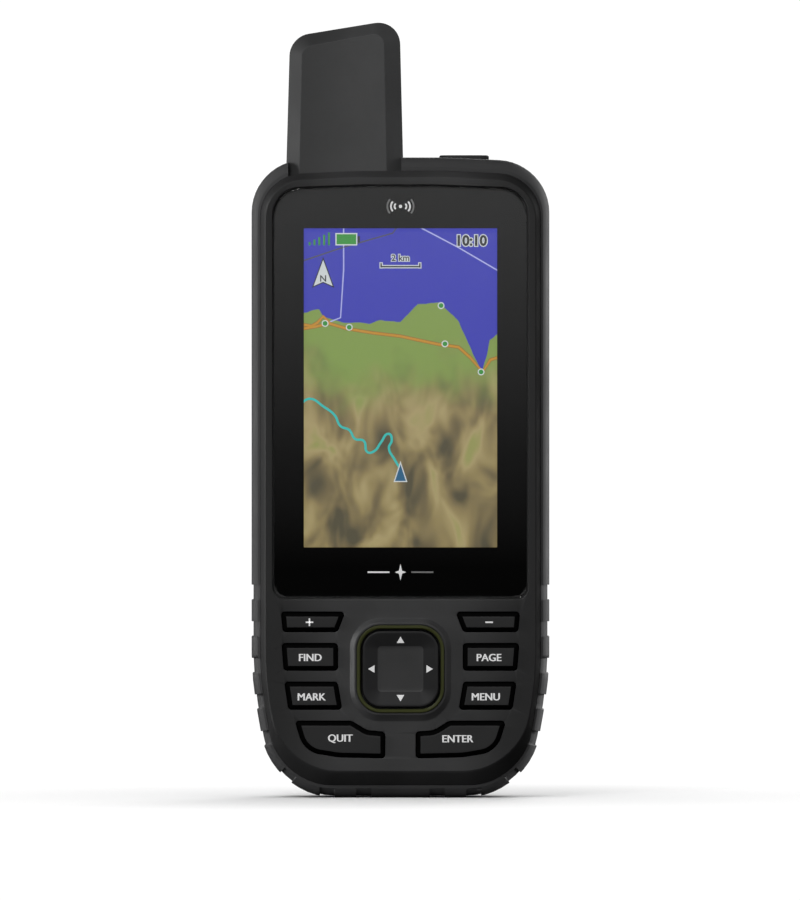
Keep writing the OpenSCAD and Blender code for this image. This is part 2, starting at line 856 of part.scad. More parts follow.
module rf_shields() {
    color("lightgray") for (side = [-1, 1], z = shield_z)
        block([side * shield_x - shield_half_w, y_board, z],
              [side * shield_x + shield_half_w, y_board + shield_t, z + shield_h]);
}

module board_screws() {
    color("silver") {
        standoff_places() {
            bar(0, 0, board_screw_r, from_face(frame_y) + 0.3, y_board + eps);
            bar(0, 0, 1.5, y_board, y_board + 0.8);
        }
        post_places() {
            bar(0, 0, post_screw_r, io_y - eps, io_y + post_screw_l);
            bar(0, 0, 1.1, io_y - 0.8, io_y);
        }
    }
}

module io_board() {
    color("darkgreen") difference() {
        block([-20.5, io_y, io_z - io_half_h], [20.5, io_y + io_t, io_z + io_half_h]);
        post_places() bar(0, 0, post_screw_r + 0.05, io_y - 1, io_y + 2);
    }
}

module board_link() {
    color("black") block([-6, y_board, io_z - 4.5], [6, io_y, io_z - 2]);
}

module usb_port() {
    port_half_w = 3.9;
    port_half_h = 1.45;
    skin = 0.3;
    y_mouth = y_back - cap_t - plug_d - gap;
    color("silver") {
        difference() {
            block([-port_half_w, io_y + io_t, io_z - port_half_h],
                  [port_half_w, y_mouth, io_z + port_half_h]);
            block([skin - port_half_w, io_y + 1.4, io_z - port_half_h + skin],
                  [port_half_w - skin, y_mouth + 1, io_z + port_half_h - skin]);
        }
        block([-2.4, io_y + 1.2, io_z + 0.2], [2.4, y_mouth - 0.6, io_z + 0.8]);
    }
}

module usb_cap() {
    color("#3b3b3c") {
        slab(y_back - cap_t, y_back) cap_recess(0);
        block([socket_x - plug_w / 2, y_back - cap_t - plug_d, io_z - plug_h / 2],
              [socket_x + plug_w / 2, y_back - cap_t + eps, io_z + plug_h / 2]);
    }
}

module torch_lens() {
    color("white") bar(torch_x, io_z, torch_r - fit, y_inner, y_back);
}

module torch_led() {
    color("lightyellow") block([torch_x - 1.7, io_y + io_t, io_z - 1.7],
        [torch_x + 1.7, io_y + 2.8, io_z + 1.7]);
}

module buzzer() {
    color("black") bar(buzzer_x, io_z, buzzer_r, io_y + io_t, io_y + 4);
}

module vent_membrane() {
    color("white") bar(torch_x, rail_z0 + rail_l / 2, 3, y_inner - 0.3, y_inner);
}

module power_button() {
    color("#303031") intersection() {
        union() {
            power_opening(0);
            translate([0, 0, power_under - case_h]) linear_extrude(case_h - power_flange)
                translate([power_x, power_y])
                    square([power_l + 1.4, power_w + 1.4], center = true);
        }
        block([0, y_seam, power_under - power_flange],
              [half_w, y_band, power_top + power_proud]);
    }
}

module power_switch() {
    top = power_under - power_flange - power_travel - 0.2;
    color("silver") block([power_x - 3, y_board, top - 4], [power_x + 3, power_y + 2.4, top]);
}

// ---- battery bay ----

module battery_cover() {
    color("#29292a") difference() {
        union() {
            intersection() {
                slab(y_cover, y_back + 1) outline(cover_corners);
                back_form();
            }
            bar(0, latch_z, latch_r + 1.4, recess_y - bush_t, y_cover + eps);
        }
        bar(0, latch_z, latch_r + gap, recess_y, y_back + 1);
        bar(0, latch_z, shaft_r + fit, y_floor, y_back);
        slab(y_cover - eps, y_cover + 0.6) cover_ring();
    }
}

module cover_ring() {
    difference() {
        outline(cover_corners, 0.5);
        outline(cover_corners, 1.2);
    }
}

module cover_seal() {
    color("#506050") slab(y_cover, y_cover + 0.6) cover_ring();
}

module battery_pack() {
    color("#1d3557") slab(from_face(pack_y), from_face(pack_y + battery_t))
        outline(box_corners(-battery_w / 2, battery_z, battery_w / 2, battery_z + battery_h,
            2, 2));
}

module battery_contacts() {
    color("gold") for (x = [-8, 0, 8])
        block([x - 1.5, from_face(pack_y + 3), battery_z + battery_h],
              [x + 1.5, from_face(pack_y + 9), bay_z1]);
}

module card_slot() {
    slot_half_w = card_w / 2 + 0.3;
    color("silver") difference() {
        block([card_x - slot_half_w, y_floor, card_z0 - 0.3],
              [card_x + slot_half_w, y_floor + card_t + 0.7, card_z0 + card_l - 3]);
        block([card_x - card_w / 2 - 0.05, y_floor + 0.3, card_z0 - 0.05],
              [card_x + card_w / 2 + 0.05, y_floor + 0.4 + card_t, card_z0 + card_l]);
    }
}

module memory_card() {
    color("black") block([card_x - card_w / 2, y_floor + 0.35, card_z0],
        [card_x + card_w / 2, y_floor + 0.35 + card_t, card_z0 + card_l]);
}

// ---- latch ----

module latch_barrel() {
    color("dimgray") difference() {
        union() {
            bar(0, latch_z, latch_r, y_head, y_head + head_t);
            bar(0, latch_z, shaft_r, y_neck, y_head + eps);
            bar(0, latch_z, neck_r, y_tongue, y_neck + eps);
            block([-saddle_half_w, y_head + head_t - eps, latch_z - 1.6],
                  [saddle_half_w, ring_axis_y + wire_r + 0.8, latch_z + 1.6]);
        }
        cross_bar(-saddle_half_w - 1, saddle_half_w + 1, ring_axis_y, latch_z, wire_r + fit);
        bar(0, latch_z, 0.7, y_tongue - 1, y_tongue + 4);
    }
}

module latch_clip() {
    color("silver") difference() {
        bar(0, latch_z, shaft_r + 1, y_neck - clip_t, y_neck);
        bar(0, latch_z, neck_r + 0.02, y_neck - clip_t - 1, y_neck + 1);
    }
}

module latch_tongue() {
    color("silver") difference() {
        slab(y_tongue - tongue_t, y_tongue) outline(box_corners(-neck_r,
            latch_z - tongue_reach, neck_r, latch_z + tongue_reach, 0.6, 0.6));
        bar(0, latch_z, 0.72, y_tongue - tongue_t - 1, y_tongue + 1);
    }
}

module latch_screw() {
    color("silver") {
        bar(0, latch_z, 0.68, y_tongue - tongue_t - eps, y_tongue + 3.5);
        bar(0, latch_z, 1.5, y_tongue - tongue_t - 1, y_tongue - tongue_t);
    }
}

module latch_ring() {
    color("silver") translate([0, ring_axis_y, latch_z]) {
        rotate([0, 90, 0])
            cylinder(r = wire_r, h = 2 * ring_reach, center = true);
        difference() {
            rotate([90, 0, 0]) rotate_extrude() translate([ring_reach, 0]) circle(wire_r);
            block([-20, -5, -20], [20, 5, 0]);
        }
        for (side = [-1, 1]) translate([side * ring_reach, 0, 0]) sphere(wire_r);
    }
}

front_housing();
rear_housing();
grip_band();
antenna_cover();
antenna_former();
antenna_helix();
antenna_feed();
display_lens();
lens_gasket();
display_module();
display_ribbon();
rocker_ring();
rocker_pad();
rocker_pivot();
key_plus();
key_minus();
key_find();
key_page();
key_mark();
key_menu();
key_quit();
key_enter();
keypad_membrane();
dome_sheet();
key_board();
inner_frame();
main_board();
rf_shields();
board_screws();
housing_seal();
housing_screws();
power_button();
power_switch();
io_board();
board_link();
usb_port();
usb_cap();
torch_lens();
torch_led();
buzzer();
vent_membrane();
battery_cover();
cover_seal();
battery_pack();
battery_contacts();
card_slot();
memory_card();
latch_barrel();
latch_clip();
latch_tongue();
latch_screw();
latch_ring();
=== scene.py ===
import json
import math

import bmesh
import bpy
from mathutils import Matrix, Vector

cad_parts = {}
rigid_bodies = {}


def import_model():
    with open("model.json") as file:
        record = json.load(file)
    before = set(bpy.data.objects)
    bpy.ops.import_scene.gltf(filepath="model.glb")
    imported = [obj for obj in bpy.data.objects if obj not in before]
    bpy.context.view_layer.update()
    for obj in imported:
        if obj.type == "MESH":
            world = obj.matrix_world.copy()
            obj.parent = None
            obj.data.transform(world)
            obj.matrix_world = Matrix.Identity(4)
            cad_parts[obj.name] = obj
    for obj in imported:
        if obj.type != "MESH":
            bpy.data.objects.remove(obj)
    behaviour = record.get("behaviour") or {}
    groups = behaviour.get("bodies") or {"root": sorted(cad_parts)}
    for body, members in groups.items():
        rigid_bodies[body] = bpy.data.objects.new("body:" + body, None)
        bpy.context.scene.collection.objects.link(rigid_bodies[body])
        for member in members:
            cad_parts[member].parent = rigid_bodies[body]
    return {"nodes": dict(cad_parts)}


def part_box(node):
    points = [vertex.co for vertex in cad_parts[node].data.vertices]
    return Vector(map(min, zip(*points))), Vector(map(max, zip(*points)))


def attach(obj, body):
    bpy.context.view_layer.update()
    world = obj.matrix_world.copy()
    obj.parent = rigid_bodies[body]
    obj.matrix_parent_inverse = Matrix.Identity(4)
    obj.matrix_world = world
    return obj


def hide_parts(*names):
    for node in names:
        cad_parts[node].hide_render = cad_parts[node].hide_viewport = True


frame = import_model()

MM = 0.001
STEP = 7.5  # degrees from one point of a rounded corner to the next


def note_size():
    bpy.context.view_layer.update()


def box(node):
    """Lowest and highest corner of a solid, in millimetres."""
    lo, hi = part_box(node)
    return lo / MM, hi / MM


note_size()

# ---- places taken from the solids, in millimetres ----

BAND_LO, BAND_HI = box("grip_band")
LENS_LO, LENS_HI = box("display_lens")
RING_LO, RING_HI = box("rocker_ring")
PAD_LO, PAD_HI = box("rocker_pad")
MODULE_LO, MODULE_HI = box("display_module")
ANT_LO, ANT_HI = box("antenna_cover")
POWER_LO, POWER_HI = box("power_button")

FACE_Y = LENS_LO.y
SEAM_Y = BAND_LO.y
BAND_Y = BAND_HI.y
SPLIT_Y = SEAM_Y + 1
PLATE_T = 1.8  # thickness of the front plate
LENS_T = 1.04
LENS_GAP = 0.3  # inset of the cover glass from its outline
HALF_W = BAND_HI.x
CASE_H = 134.8
WAIST_Z = 24.8
FOOT_HALF = 26.9
LEAN = (HALF_W - FOOT_HALF) / WAIST_Z
CROWN = 1.4  # rise of the top edge from its corners to its middle
ROCKER_Z = (RING_LO.z + RING_HI.z) / 2
RING_HALF = RING_HI.x
KEY_TOP = box("key_find")[0].y
FLANGE_Y = box("key_find")[1].y - 0.8
PAD_HALF = 8.0
DISH = 0.8  # depth of the rocker's hollow
PICTURE = (MODULE_LO.x + 2, MODULE_LO.z + 2, MODULE_HI.x - 2, MODULE_HI.z - 2)


# ---- outlines seen from the front: lists of corners (x, z, radius), anticlockwise ----


def mirrored(corners):
    """The outline of the opposite hand."""
    return [(-x, z, r) for x, z, r in reversed(corners)]


def rectangle(x0, z0, x1, z1, r0, r1=None):
    """An oblong with lower corner radius r0 and upper corner radius r1."""
    top = r0 if r1 is None else r1
    return [(x0, z0, r0), (x1, z0, r0), (x1, z1, top), (x0, z1, top)]


def square(half, r, drop=0.0):
    """A square round the rocker's centre, its lower side moved down by drop."""
    z = ROCKER_Z
    return rectangle(-half, z - half - drop, half, z + half, r)


def case(side=0.0, top=0.0, foot=0.0, foot_r=15.5, margin=0.0):
    """The case's outline: straight sides, a narrower foot and a slightly crowned top."""
    crown_z = CASE_H + 0.15
    right = [
        (FOOT_HALF - side + foot * LEAN, foot, foot_r),
        (HALF_W - side, WAIST_Z, 60),
        (HALF_W - side, crown_z - CROWN - top, 11 - margin),
    ]
    return right + [(0, crown_z - top, 200)] + mirrored(right)


OUTSIDE = case()
SEAM = case(1.8, 2.8, 2.6, 13.2, 1.8)
FACE = case(2.8, 4.1, 5.5, 14, 2.8)
LENS = [
    (-LENS_HI.x, LENS_LO.z, 2.8),
    (LENS_HI.x, LENS_LO.z, 2.8),
    (LENS_HI.x, LENS_HI.z - 0.85, 6),
    (0, LENS_HI.z + 0.15, 200),
    (-LENS_HI.x, LENS_HI.z - 0.85, 6),
]


def from_rocker(corners):
    """Corners given by their height above the rocker's centre."""
    return [(x, ROCKER_Z + z, r) for x, z, r in corners]


WELLS = {
    "plus": from_rocker(
        [(-24.7, 7.7, 0.8), (-13.2, 7.7, 1), (-11.5, 12, 0.8), (-25.1, 12, 0.8)]
    ),
    "find": from_rocker(
        [(-24.5, -0.4, 0.8), (-13.1, -0.4, 0.8), (-13.1, 5.4, 0.8), (-24.95, 5.4, 0.8)]
    ),
    "mark": from_rocker(
        [(-23.5, -8.6, 0.8), (-12.2, -8.6, 0.8), (-13.2, -2.7, 0.8), (-24.4, -2.7, 0.8)]
    ),
    "quit": from_rocker(
        [
            (-13, -18.6, 14),
            (-3.2, -18.8, 0.8),
            (-3.2, -13.2, 0.8),
            (-7, -12.9, 3),
            (-10.2, -10.9, 2),
            (-22.2, -10.9, 0.8),
            (-20.2, -17.4, 5),
        ]
    ),
}
WELLS["minus"] = mirrored(WELLS["plus"])
WELLS["page"] = mirrored(WELLS["find"])
WELLS["menu"] = mirrored(WELLS["mark"])
WELLS["enter"] = mirrored(WELLS["quit"])


def headings(corners, i):
    """Unit directions into and out of corner i, and the turn between them."""
    p, a, b = corners[i], corners[i - 1], corners[(i + 1) % len(corners)]
    u = Vector((p[0] - a[0], p[1] - a[1])).normalized()
    v = Vector((b[0] - p[0], b[1] - p[1])).normalized()
    return u, v, math.atan2(u.x * v.y - u.y * v.x, u.dot(v))


def moved(corners, d):
    """The corners after every side moves inwards by d."""
    out = []
    for i, (x, z, r) in enumerate(corners):
        u, v, turn = headings(corners, i)
        n, m = Vector((-u.y, u.x)), Vector((-v.y, v.x))
        tip = Vector((x, z)) + d * (n + m) / (1 + n.dot(m))
        out.append((tip.x, tip.y, max(r - math.copysign(d, turn), 0.05)))
    return out


def between(a, b, t):
    """Corners part of the way from outline a to outline b."""
    return [tuple(p + (q - p) * t for p, q in zip(c, d)) for c, d in zip(a, b)]


# ---- building with bmesh ----


def ring(bm, corners, y, d=0.0, cap=False):
    """A closed loop of edges at depth y: each corner rounded, the sides d further in."""
    points = moved(corners, d) if d else corners
    verts = [bm.verts.new((x, y, z)) for x, z, _ in points]
    face = bm.faces.new(verts)
    for i, v in enumerate(verts):
        turn = abs(headings(points, i)[2])
        made = bmesh.ops.bevel(
            bm,
            geom=[v],
            affect="VERTICES",
            offset=points[i][2] * math.tan(turn / 2),
            segments=max(1, math.ceil(math.degrees(turn) / STEP)),
            profile=0.5,
            material=-1,
            clamp_overlap=False,
        )
        face = made["verts"][0].link_faces[0]
    edges = list(face.edges)
    if not cap:
        bmesh.ops.delete(bm, geom=[face], context="FACES_ONLY")
    return edges


def loft(bm, loops):
    """Walls between each loop and the next; returns the last."""
    for a, b in zip(loops, loops[1:]):
        verts = list({v for e in b for v in e.verts})
        level = abs(verts[0].co.y - a[0].verts[0].co.y) < 0.001
        shift = Vector((0, 0.5 if level else 0, 0))
        bmesh.ops.translate(bm, vec=shift, verts=verts)
        bmesh.ops.bridge_loops(bm, edges=a + b)
        bmesh.ops.translate(bm, vec=-shift, verts=verts)
    return loops[-1]


def walls(bm, corners, profile, cap=(False, False)):
    """A lofted wall that follows the profile of (inset, depth) pairs."""
    loops = []
    for i, (d, y) in enumerate(profile):
        closed = (cap[0] and i == 0) or (cap[1] and i == len(profile) - 1)
        loops.append(ring(bm, corners, y, d, closed))
    loft(bm, loops)
    return loops[0], loops[-1]


def turned_edge(d, y, r, steps=3):
    """Profile of a rounded front edge: from depth y + r at inset d to depth y."""
    out = []
    for k in range(steps + 1):
        a = math.radians(90 * k / steps)
        out.append((d + r * (1 - math.cos(a)), y + r * (1 - math.sin(a))))
    return out


def sheet_between(bm, loops):
    """A flat face bounded by loops of edges in one plane."""
    edges = [e for loop in loops for e in loop]
    bmesh.ops.triangle_fill(bm, use_beauty=True, edges=edges)


def piece(name, bm, body="case", node=None, material=None, sharp=32, soft=0.0):
    """Closes a bmesh in millimetres into a finished piece that rides on a body."""
    bmesh.ops.remove_doubles(bm, verts=bm.verts, dist=0.0005)
    bmesh.ops.recalc_face_normals(bm, faces=bm.faces)
    bmesh.ops.scale(bm, vec=(MM, MM, MM), verts=bm.verts)
    limit = math.radians(sharp)
    for f in bm.faces:
        f.smooth = True
    for e in bm.edges:
        e.smooth = len(e.link_faces) == 2 and e.calc_face_angle(0) < limit
    mesh = bpy.data.meshes.new(name)
    bm.to_mesh(mesh)
    bm.free()
    obj = bpy.data.objects.new(name, mesh)
    bpy.context.scene.collection.objects.link(obj)
    if material:
        mesh.materials.append(material)
    if soft:
        mod = obj.modifiers.new("soft_edges", "BEVEL")
        mod.width = soft * MM
        mod.segments = 2
        mod.limit_method = "ANGLE"
        mod.angle_limit = math.radians(30)
        mod.harden_normals = False
    if body:
        even = obj.modifiers.new("even_shading", "WEIGHTED_NORMAL")
        even.keep_sharp = True
        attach(obj, body)
    if node:
        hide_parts(node)
    return obj


def flat_solid(bm, points, deep):
    """A face through the points, thickened by deep towards the back."""
    made = bmesh.ops.extrude_face_region(bm, geom=[bm.faces.new(map(bm.verts.new, points))])
    far = [v for v in made["geom"] if isinstance(v, bmesh.types.BMVert)]
    bmesh.ops.translate(bm, vec=(0, deep, 0), verts=far)


def disc(bm, x, y, z, r, deep, sides):
    """A round plate that faces the front, with its middle at x, y, z."""
    turn = Matrix.Rotation(math.pi / 2, 4, "X")
    made = bmesh.ops.create_cone(bm, cap_ends=True, segments=sides, radius1=r, radius2=r,
                                 depth=deep, matrix=turn)
    bmesh.ops.translate(bm, vec=(x, y, z), verts=made["verts"])


def mesh_from(name, data):
    """The mesh that a curve or a line of letters makes."""
    holder = bpy.data.objects.new(name, data)
    bpy.context.scene.collection.objects.link(holder)
    bpy.context.view_layer.update()
    graph = bpy.context.evaluated_depsgraph_get()
    mesh = bpy.data.meshes.new_from_object(holder.evaluated_get(graph))
    bpy.data.objects.remove(holder)
    return mesh


def add_box(bm, lo, hi):
    """A box from one corner to the other."""
    made = bmesh.ops.create_cube(bm, size=1)["verts"]
    size = Vector(hi) - Vector(lo)
    bmesh.ops.scale(bm, vec=size, verts=made)
    bmesh.ops.translate(bm, vec=(Vector(hi) + Vector(lo)) / 2, verts=made)
    return made


def solid_copy(node):
    """A merged copy of a solid's mesh in millimetres, its flat areas joined."""
    bm = bmesh.new()
    bm.from_mesh(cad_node(node).data)
    bmesh.ops.scale(bm, vec=(1 / MM,) * 3, verts=bm.verts)
    bmesh.ops.remove_doubles(bm, verts=bm.verts, dist=0.001)
    bmesh.ops.dissolve_limit(
        bm, angle_limit=math.radians(0.8), verts=bm.verts, edges=bm.edges
    )
    return bm


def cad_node(node):
    """The object that shows a solid of the frame."""
    return frame["nodes"][node]


def cut(obj, cutters):
    """Cuts pieces out of obj with closed helper meshes, then removes them."""
    for cutter in cutters:
        mod = obj.modifiers.new("cut", "BOOLEAN")
        mod.operation = "DIFFERENCE"
        mod.solver = "MANIFOLD"
        mod.object = cutter
    bpy.context.view_layer.update()
    graph = bpy.context.evaluated_depsgraph_get()
    mesh = bpy.data.meshes.new_from_object(obj.evaluated_get(graph))
    obj.modifiers.clear()
    obj.data = mesh
    mesh.set_sharp_from_angle(angle=math.radians(26))
    obj.modifiers.new("even_shading", "WEIGHTED_NORMAL").keep_sharp = True
    for cutter in cutters:
        bpy.data.objects.remove(cutter)


def cutter(bm):
    """A helper mesh for cut()."""
    return piece("cutter", bm, body=None)


# ---- materials ----


class Nodes:
    """Short names for adding and joining a material's nodes."""

    def __init__(self, tree):
        self.tree = tree

    def add(self, kind, **values):
        node = self.tree.nodes.new(kind)
        for key, value in values.items():
            setattr(node, key, value)
        return node

    def join(self, a, b, out=0, into=0):
        self.tree.links.new(a.outputs[out], b.inputs[into])
        return b


def blank(name):
    """A new material with only its output node."""
    material = bpy.data.materials.new(name)
    material.use_nodes = True
    material.node_tree.nodes.clear()
    nodes = Nodes(material.node_tree)
    out = nodes.add("ShaderNodeOutputMaterial")
    return material, nodes, out


def ranged(nodes, source, out, start, end=(0, 1), smooth=False):
    """A value taken from the range start to the range end."""
    node = nodes.add("ShaderNodeMapRange")
    node.interpolation_type = "SMOOTHSTEP" if smooth else "LINEAR"
    for name, value in zip(("From Min", "From Max", "To Min", "To Max"), (*start, *end)):
        node.inputs[name].default_value = value
    nodes.join(source, node, out, "Value")
    return node


def surface(nodes, out, **sockets):
    """A shader joined to the output, with values for the sockets named."""
    shader = nodes.add("ShaderNodeBsdfPrincipled")
    for name, value in sockets.items():
        shader.inputs[name.replace("_", " ")].default_value = value
    nodes.join(shader, out)
    return shader


def noise(nodes, place, scale, detail=2.0, reach=0.0):
    """Noise in the object's own space, spread over -reach to reach if reach is given."""
    texture = nodes.add("ShaderNodeTexNoise")
    texture.inputs["Scale"].default_value = scale
    texture.inputs["Detail"].default_value = detail
    nodes.join(place, texture, "Object", "Vector")
    if not reach:
        return texture
    return ranged(nodes, texture, "Fac", (0, 1), (-reach, reach))


def moulded(
    name, colour, rough=0.5, grain=2600, bump=0.06, drift=0.12, metallic=0.0, coat=0.0,
    specular=0.5, wear=0.08, fade=None,
):
    """A moulded or coated finish: a fine texture, a slow drift of tone and of gloss, and, where asked,
    painted shade towards the sides.
    """
    material, nodes, out = blank(name)
    shader = surface(nodes, out, Metallic=metallic, Coat_Weight=coat, Specular_IOR_Level=specular)
    place = nodes.add("ShaderNodeTexCoord")
    slow = noise(nodes, place, 90, 4)
    tone = nodes.add("ShaderNodeValToRGB")
    dark = [c * (1 - drift) for c in colour[:3]] + [1]
    light = [min(1, c * (1 + drift)) for c in colour[:3]] + [1]
    tone.color_ramp.elements[0].position = 0.35
    tone.color_ramp.elements[1].position = 0.65
    tone.color_ramp.elements[0].color = dark
    tone.color_ramp.elements[1].color = light
    nodes.join(slow, tone, "Fac", "Fac")
    if fade:
        painted_shade_towards_the_sides(nodes, place, tone, shader, fade)
    else:
        nodes.join(tone, shader, "Color", "Base Color")
    shine = (max(0.02, rough - wear), min(1, rough + wear))
    gloss = ranged(nodes, slow, "Fac", (0.3, 0.7), shine)
    nodes.join(gloss, shader, "Result", "Roughness")
    if bump:
        fine = noise(nodes, place, grain, 3)
        relief = nodes.add("ShaderNodeBump")
        relief.inputs["Strength"].default_value = bump
        relief.inputs["Distance"].default_value = 0.00012
        nodes.join(fine, relief, "Fac", "Height")
        nodes.join(relief, shader, "Normal", "Normal")
    return material


def glow(material, strength):
    """Painted light: a faint even white emission that brightens a printed finish beyond what the lamps
    give it.
    """
    for node in material.node_tree.nodes:
        if node.type == "BSDF_PRINCIPLED":
            node.inputs["Emission Color"].default_value = (1, 1, 1, 1)
            node.inputs["Emission Strength"].default_value = strength


def painted_shade_towards_the_sides(nodes, place, tone, shader, fade):
    """Painted shade: the base colour darkens smoothly towards the two long edges, away from the middle
    in x.
    """
    inner, outer, share = fade
    parts = nodes.add("ShaderNodeSeparateXYZ")
    nodes.join(place, parts, "Object", 0)
    reach = nodes.add("ShaderNodeMath", operation="ABSOLUTE")
    nodes.join(parts, reach, "X", 0)
    level = ranged(nodes, reach, "Value", (inner * MM, outer * MM), (1, share), smooth=True)
    scaled = nodes.add("ShaderNodeVectorMath", operation="SCALE")
    nodes.join(tone, scaled, "Color", 0)
    nodes.join(level, scaled, "Result", "Scale")
    nodes.join(scaled, shader, "Vector", "Base Color")


def glass(name, tint, rough):
    """Clear glass of the given tint and roughness."""
    material, nodes, out = blank(name)
    surface(nodes, out, Base_Color=tint, Transmission_Weight=1, Roughness=rough, IOR=1.5)
    return material


def printed(name, colour, strength):
    """Lit ink of the display, with a faint speckle in its tone."""
    material, nodes, out = blank(name)
    shader = surface(nodes, out, Base_Color=UNLIT, Roughness=0.4, Emission_Strength=strength)
    place = nodes.add("ShaderNodeTexCoord")
    cells = noise(nodes, place, 500)
    tone = nodes.add("ShaderNodeValToRGB")
    tone.color_ramp.elements[0].color = [c * 0.94 for c in colour[:3]] + [1]
    tone.color_ramp.elements[1].color = [min(1, c * 1.06) for c in colour[:3]] + [1]
    nodes.join(cells, tone, "Fac", "Fac")
    nodes.join(tone, shader, "Color", "Emission Color")
    return material


def map_picture():
    """The moving map: sea above a coast, green lowland, then blurred brown hills."""
    material, nodes, out = blank("map_picture")
    shader = surface(nodes, out, Base_Color=UNLIT, Roughness=0.4, Emission_Strength=SCREEN_LIGHT)
    place = nodes.add("ShaderNodeTexCoord")
    parts = nodes.add("ShaderNodeSeparateXYZ")
    nodes.join(place, parts, "Object", 0)
    across = ranged(nodes, parts, "X", (PICTURE[0] * MM, PICTURE[2] * MM))
    up = ranged(nodes, parts, "Z", (PICTURE[1] * MM, PICTURE[3] * MM))
    hills = relief_colour(nodes, place).outputs["Color"]
    land = coloured(nodes, lowland(nodes, place, up), hills, LAND["green"])
    whole = coloured(nodes, over_the_coast(nodes, place, across, up), land, LAND["sea"])
    nodes.tree.links.new(whole, shader.inputs["Emission Color"])
    return material


def coloured(nodes, share, below, colour):
    """Colour laid over what is below it, as far as share says."""
    mix = nodes.add("ShaderNodeMix", data_type="RGBA")
    nodes.tree.links.new(share.outputs["Result"], mix.inputs[0])
    nodes.tree.links.new(below, mix.inputs[6])
    mix.inputs[7].default_value = colour
    return mix.outputs[2]


def over_the_coast(nodes, place, across, up):
    """1 above the slightly ragged coast line, 0 below it."""
    coast = nodes.add("ShaderNodeFloatCurve")
    curve = coast.mapping.curves[0]
    curve.points[0].location = COAST[0]
    curve.points[1].location = COAST[-1]
    for point in COAST[1:-1]:
        curve.points.new(*point)
    for point in curve.points:
        point.handle_type = "VECTOR"
    coast.mapping.update()
    nodes.join(across, coast, "Result", "Value")
    over = nodes.add("ShaderNodeMath", operation="SUBTRACT")
    nodes.join(up, over, "Result", 0)
    nodes.join(coast, over, "Value", 1)
    edge = nodes.add("ShaderNodeMath", operation="ADD")
    nodes.join(over, edge, "Value", 0)
    nodes.join(noise(nodes, place, 450, reach=0.006), edge, "Result", 1)
    return ranged(nodes, edge, "Value", (-0.0008, 0.0008))


def lowland(nodes, place, up):
    """1 on the green land near the coast, fading to 0 in the hills."""
    height = nodes.add("ShaderNodeMath", operation="ADD")
    nodes.join(up, height, "Result", 0)
    nodes.join(noise(nodes, place, 110, reach=0.16), height, "Result", 1)
    return ranged(nodes, height, "Value", (0.42, 0.64), smooth=True)


def relief_colour(nodes, place):
    """Blurred hill shading: broad slanting ridges of tan and brown."""
    slant = nodes.add("ShaderNodeMapping")
    slant.inputs["Rotation"].default_value = (0, math.radians(28), 0)
    slant.inputs["Scale"].default_value = (1.0, 1.0, 0.55)
    nodes.join(place, slant, "Object", "Vector")
    ridges = nodes.add("ShaderNodeTexNoise")
    ridges.inputs["Scale"].default_value = 150
    ridges.inputs["Detail"].default_value = 2.2
    ridges.inputs["Distortion"].default_value = 0.5
    nodes.join(slant, ridges, "Vector", "Vector")
    ramp = nodes.add("ShaderNodeValToRGB")
    stops = ramp.color_ramp
    stops.elements[0].position = 0.33
    stops.elements[0].color = LAND["shade"]
    stops.elements[1].position = 0.72
    stops.elements[1].color = LAND["moss"]
    for position, colour in ((0.42, "brown"), (0.52, "tan"), (0.62, "sand")):
        stops.elements.new(position).color = LAND[colour]
    nodes.join(ridges, ramp, "Fac", "Fac")
    return ramp


COAST = [
    (0.0, 0.735), (0.08, 0.748), (0.1, 0.722), (0.2, 0.706), (0.34, 0.702), (0.4, 0.712),
    (0.5, 0.707), (0.59, 0.762), (0.7, 0.768), (0.8, 0.71), (0.84, 0.655), (0.88, 0.6),
    (0.922, 0.553), (0.95, 0.61), (0.96, 0.65), (1.0, 0.668),
]


def srgb(code):
    """Linear colour from a six-digit screen colour."""
    out = []
    for i in (0, 2, 4):
        c = int(code[i : i + 2], 16) / 255
        out.append(c / 12.92 if c <= 0.04045 else ((c + 0.055) / 1.055) ** 2.4)
    return out + [1]


SCREEN_LIGHT = 1.0
UNLIT = (0.01, 0.01, 0.01, 1)
LAND = {
    "sea": srgb("3034aa"),
    "green": srgb("7b9446"),
    "moss": srgb("8f9052"),
    "sand": srgb("a39466"),
    "tan": srgb("8d7e52"),
    "brown": srgb("6f6241"),
    "shade": srgb("4b4631"),
}

# The housing's colour carries painted shade towards the sides of the case.
HOUSING = moulded("housing_black", (0.053, 0.053, 0.054), rough=0.55, bump=0.05,
                  fade=(9, 27, 0.3))
RUBBER = moulded("grip_rubber", (0.036, 0.036, 0.037), rough=0.72, grain=3400, bump=0.12)
# The antenna's colour carries painted shade towards its sides.
ANTENNA = moulded("antenna_black", (0.087, 0.088, 0.089), rough=0.6, grain=1500, bump=0.22,
                  fade=(5, 22, 0.62))
KEYS = moulded("key_black", (0.028, 0.028, 0.0285), rough=0.5, bump=0.03)
PAD = moulded("pad_black", (0.03, 0.03, 0.031), rough=0.5, bump=0.03, specular=0.3)
# Painted light: a lighter copy of the pad's black for the dish's flat middle, which faces the light.
PAINTED_LIGHT_CENTRE = moulded("pad_painted_light", (0.062, 0.062, 0.063), rough=0.5, bump=0.03)
# Near-black painted shade for the key and pad flanks down in their wells.
FLANK_SHADE = moulded("flank_shade", (0.003, 0.003, 0.003), rough=0.9, bump=0.0, specular=0.05)
OLIVE = moulded("olive_trim", srgb("4c5027"), rough=0.5, bump=0.03, specular=0.3)
WHITE = moulded("legend_white", (0.93, 0.93, 0.93), rough=0.6, bump=0.0, drift=0.03)
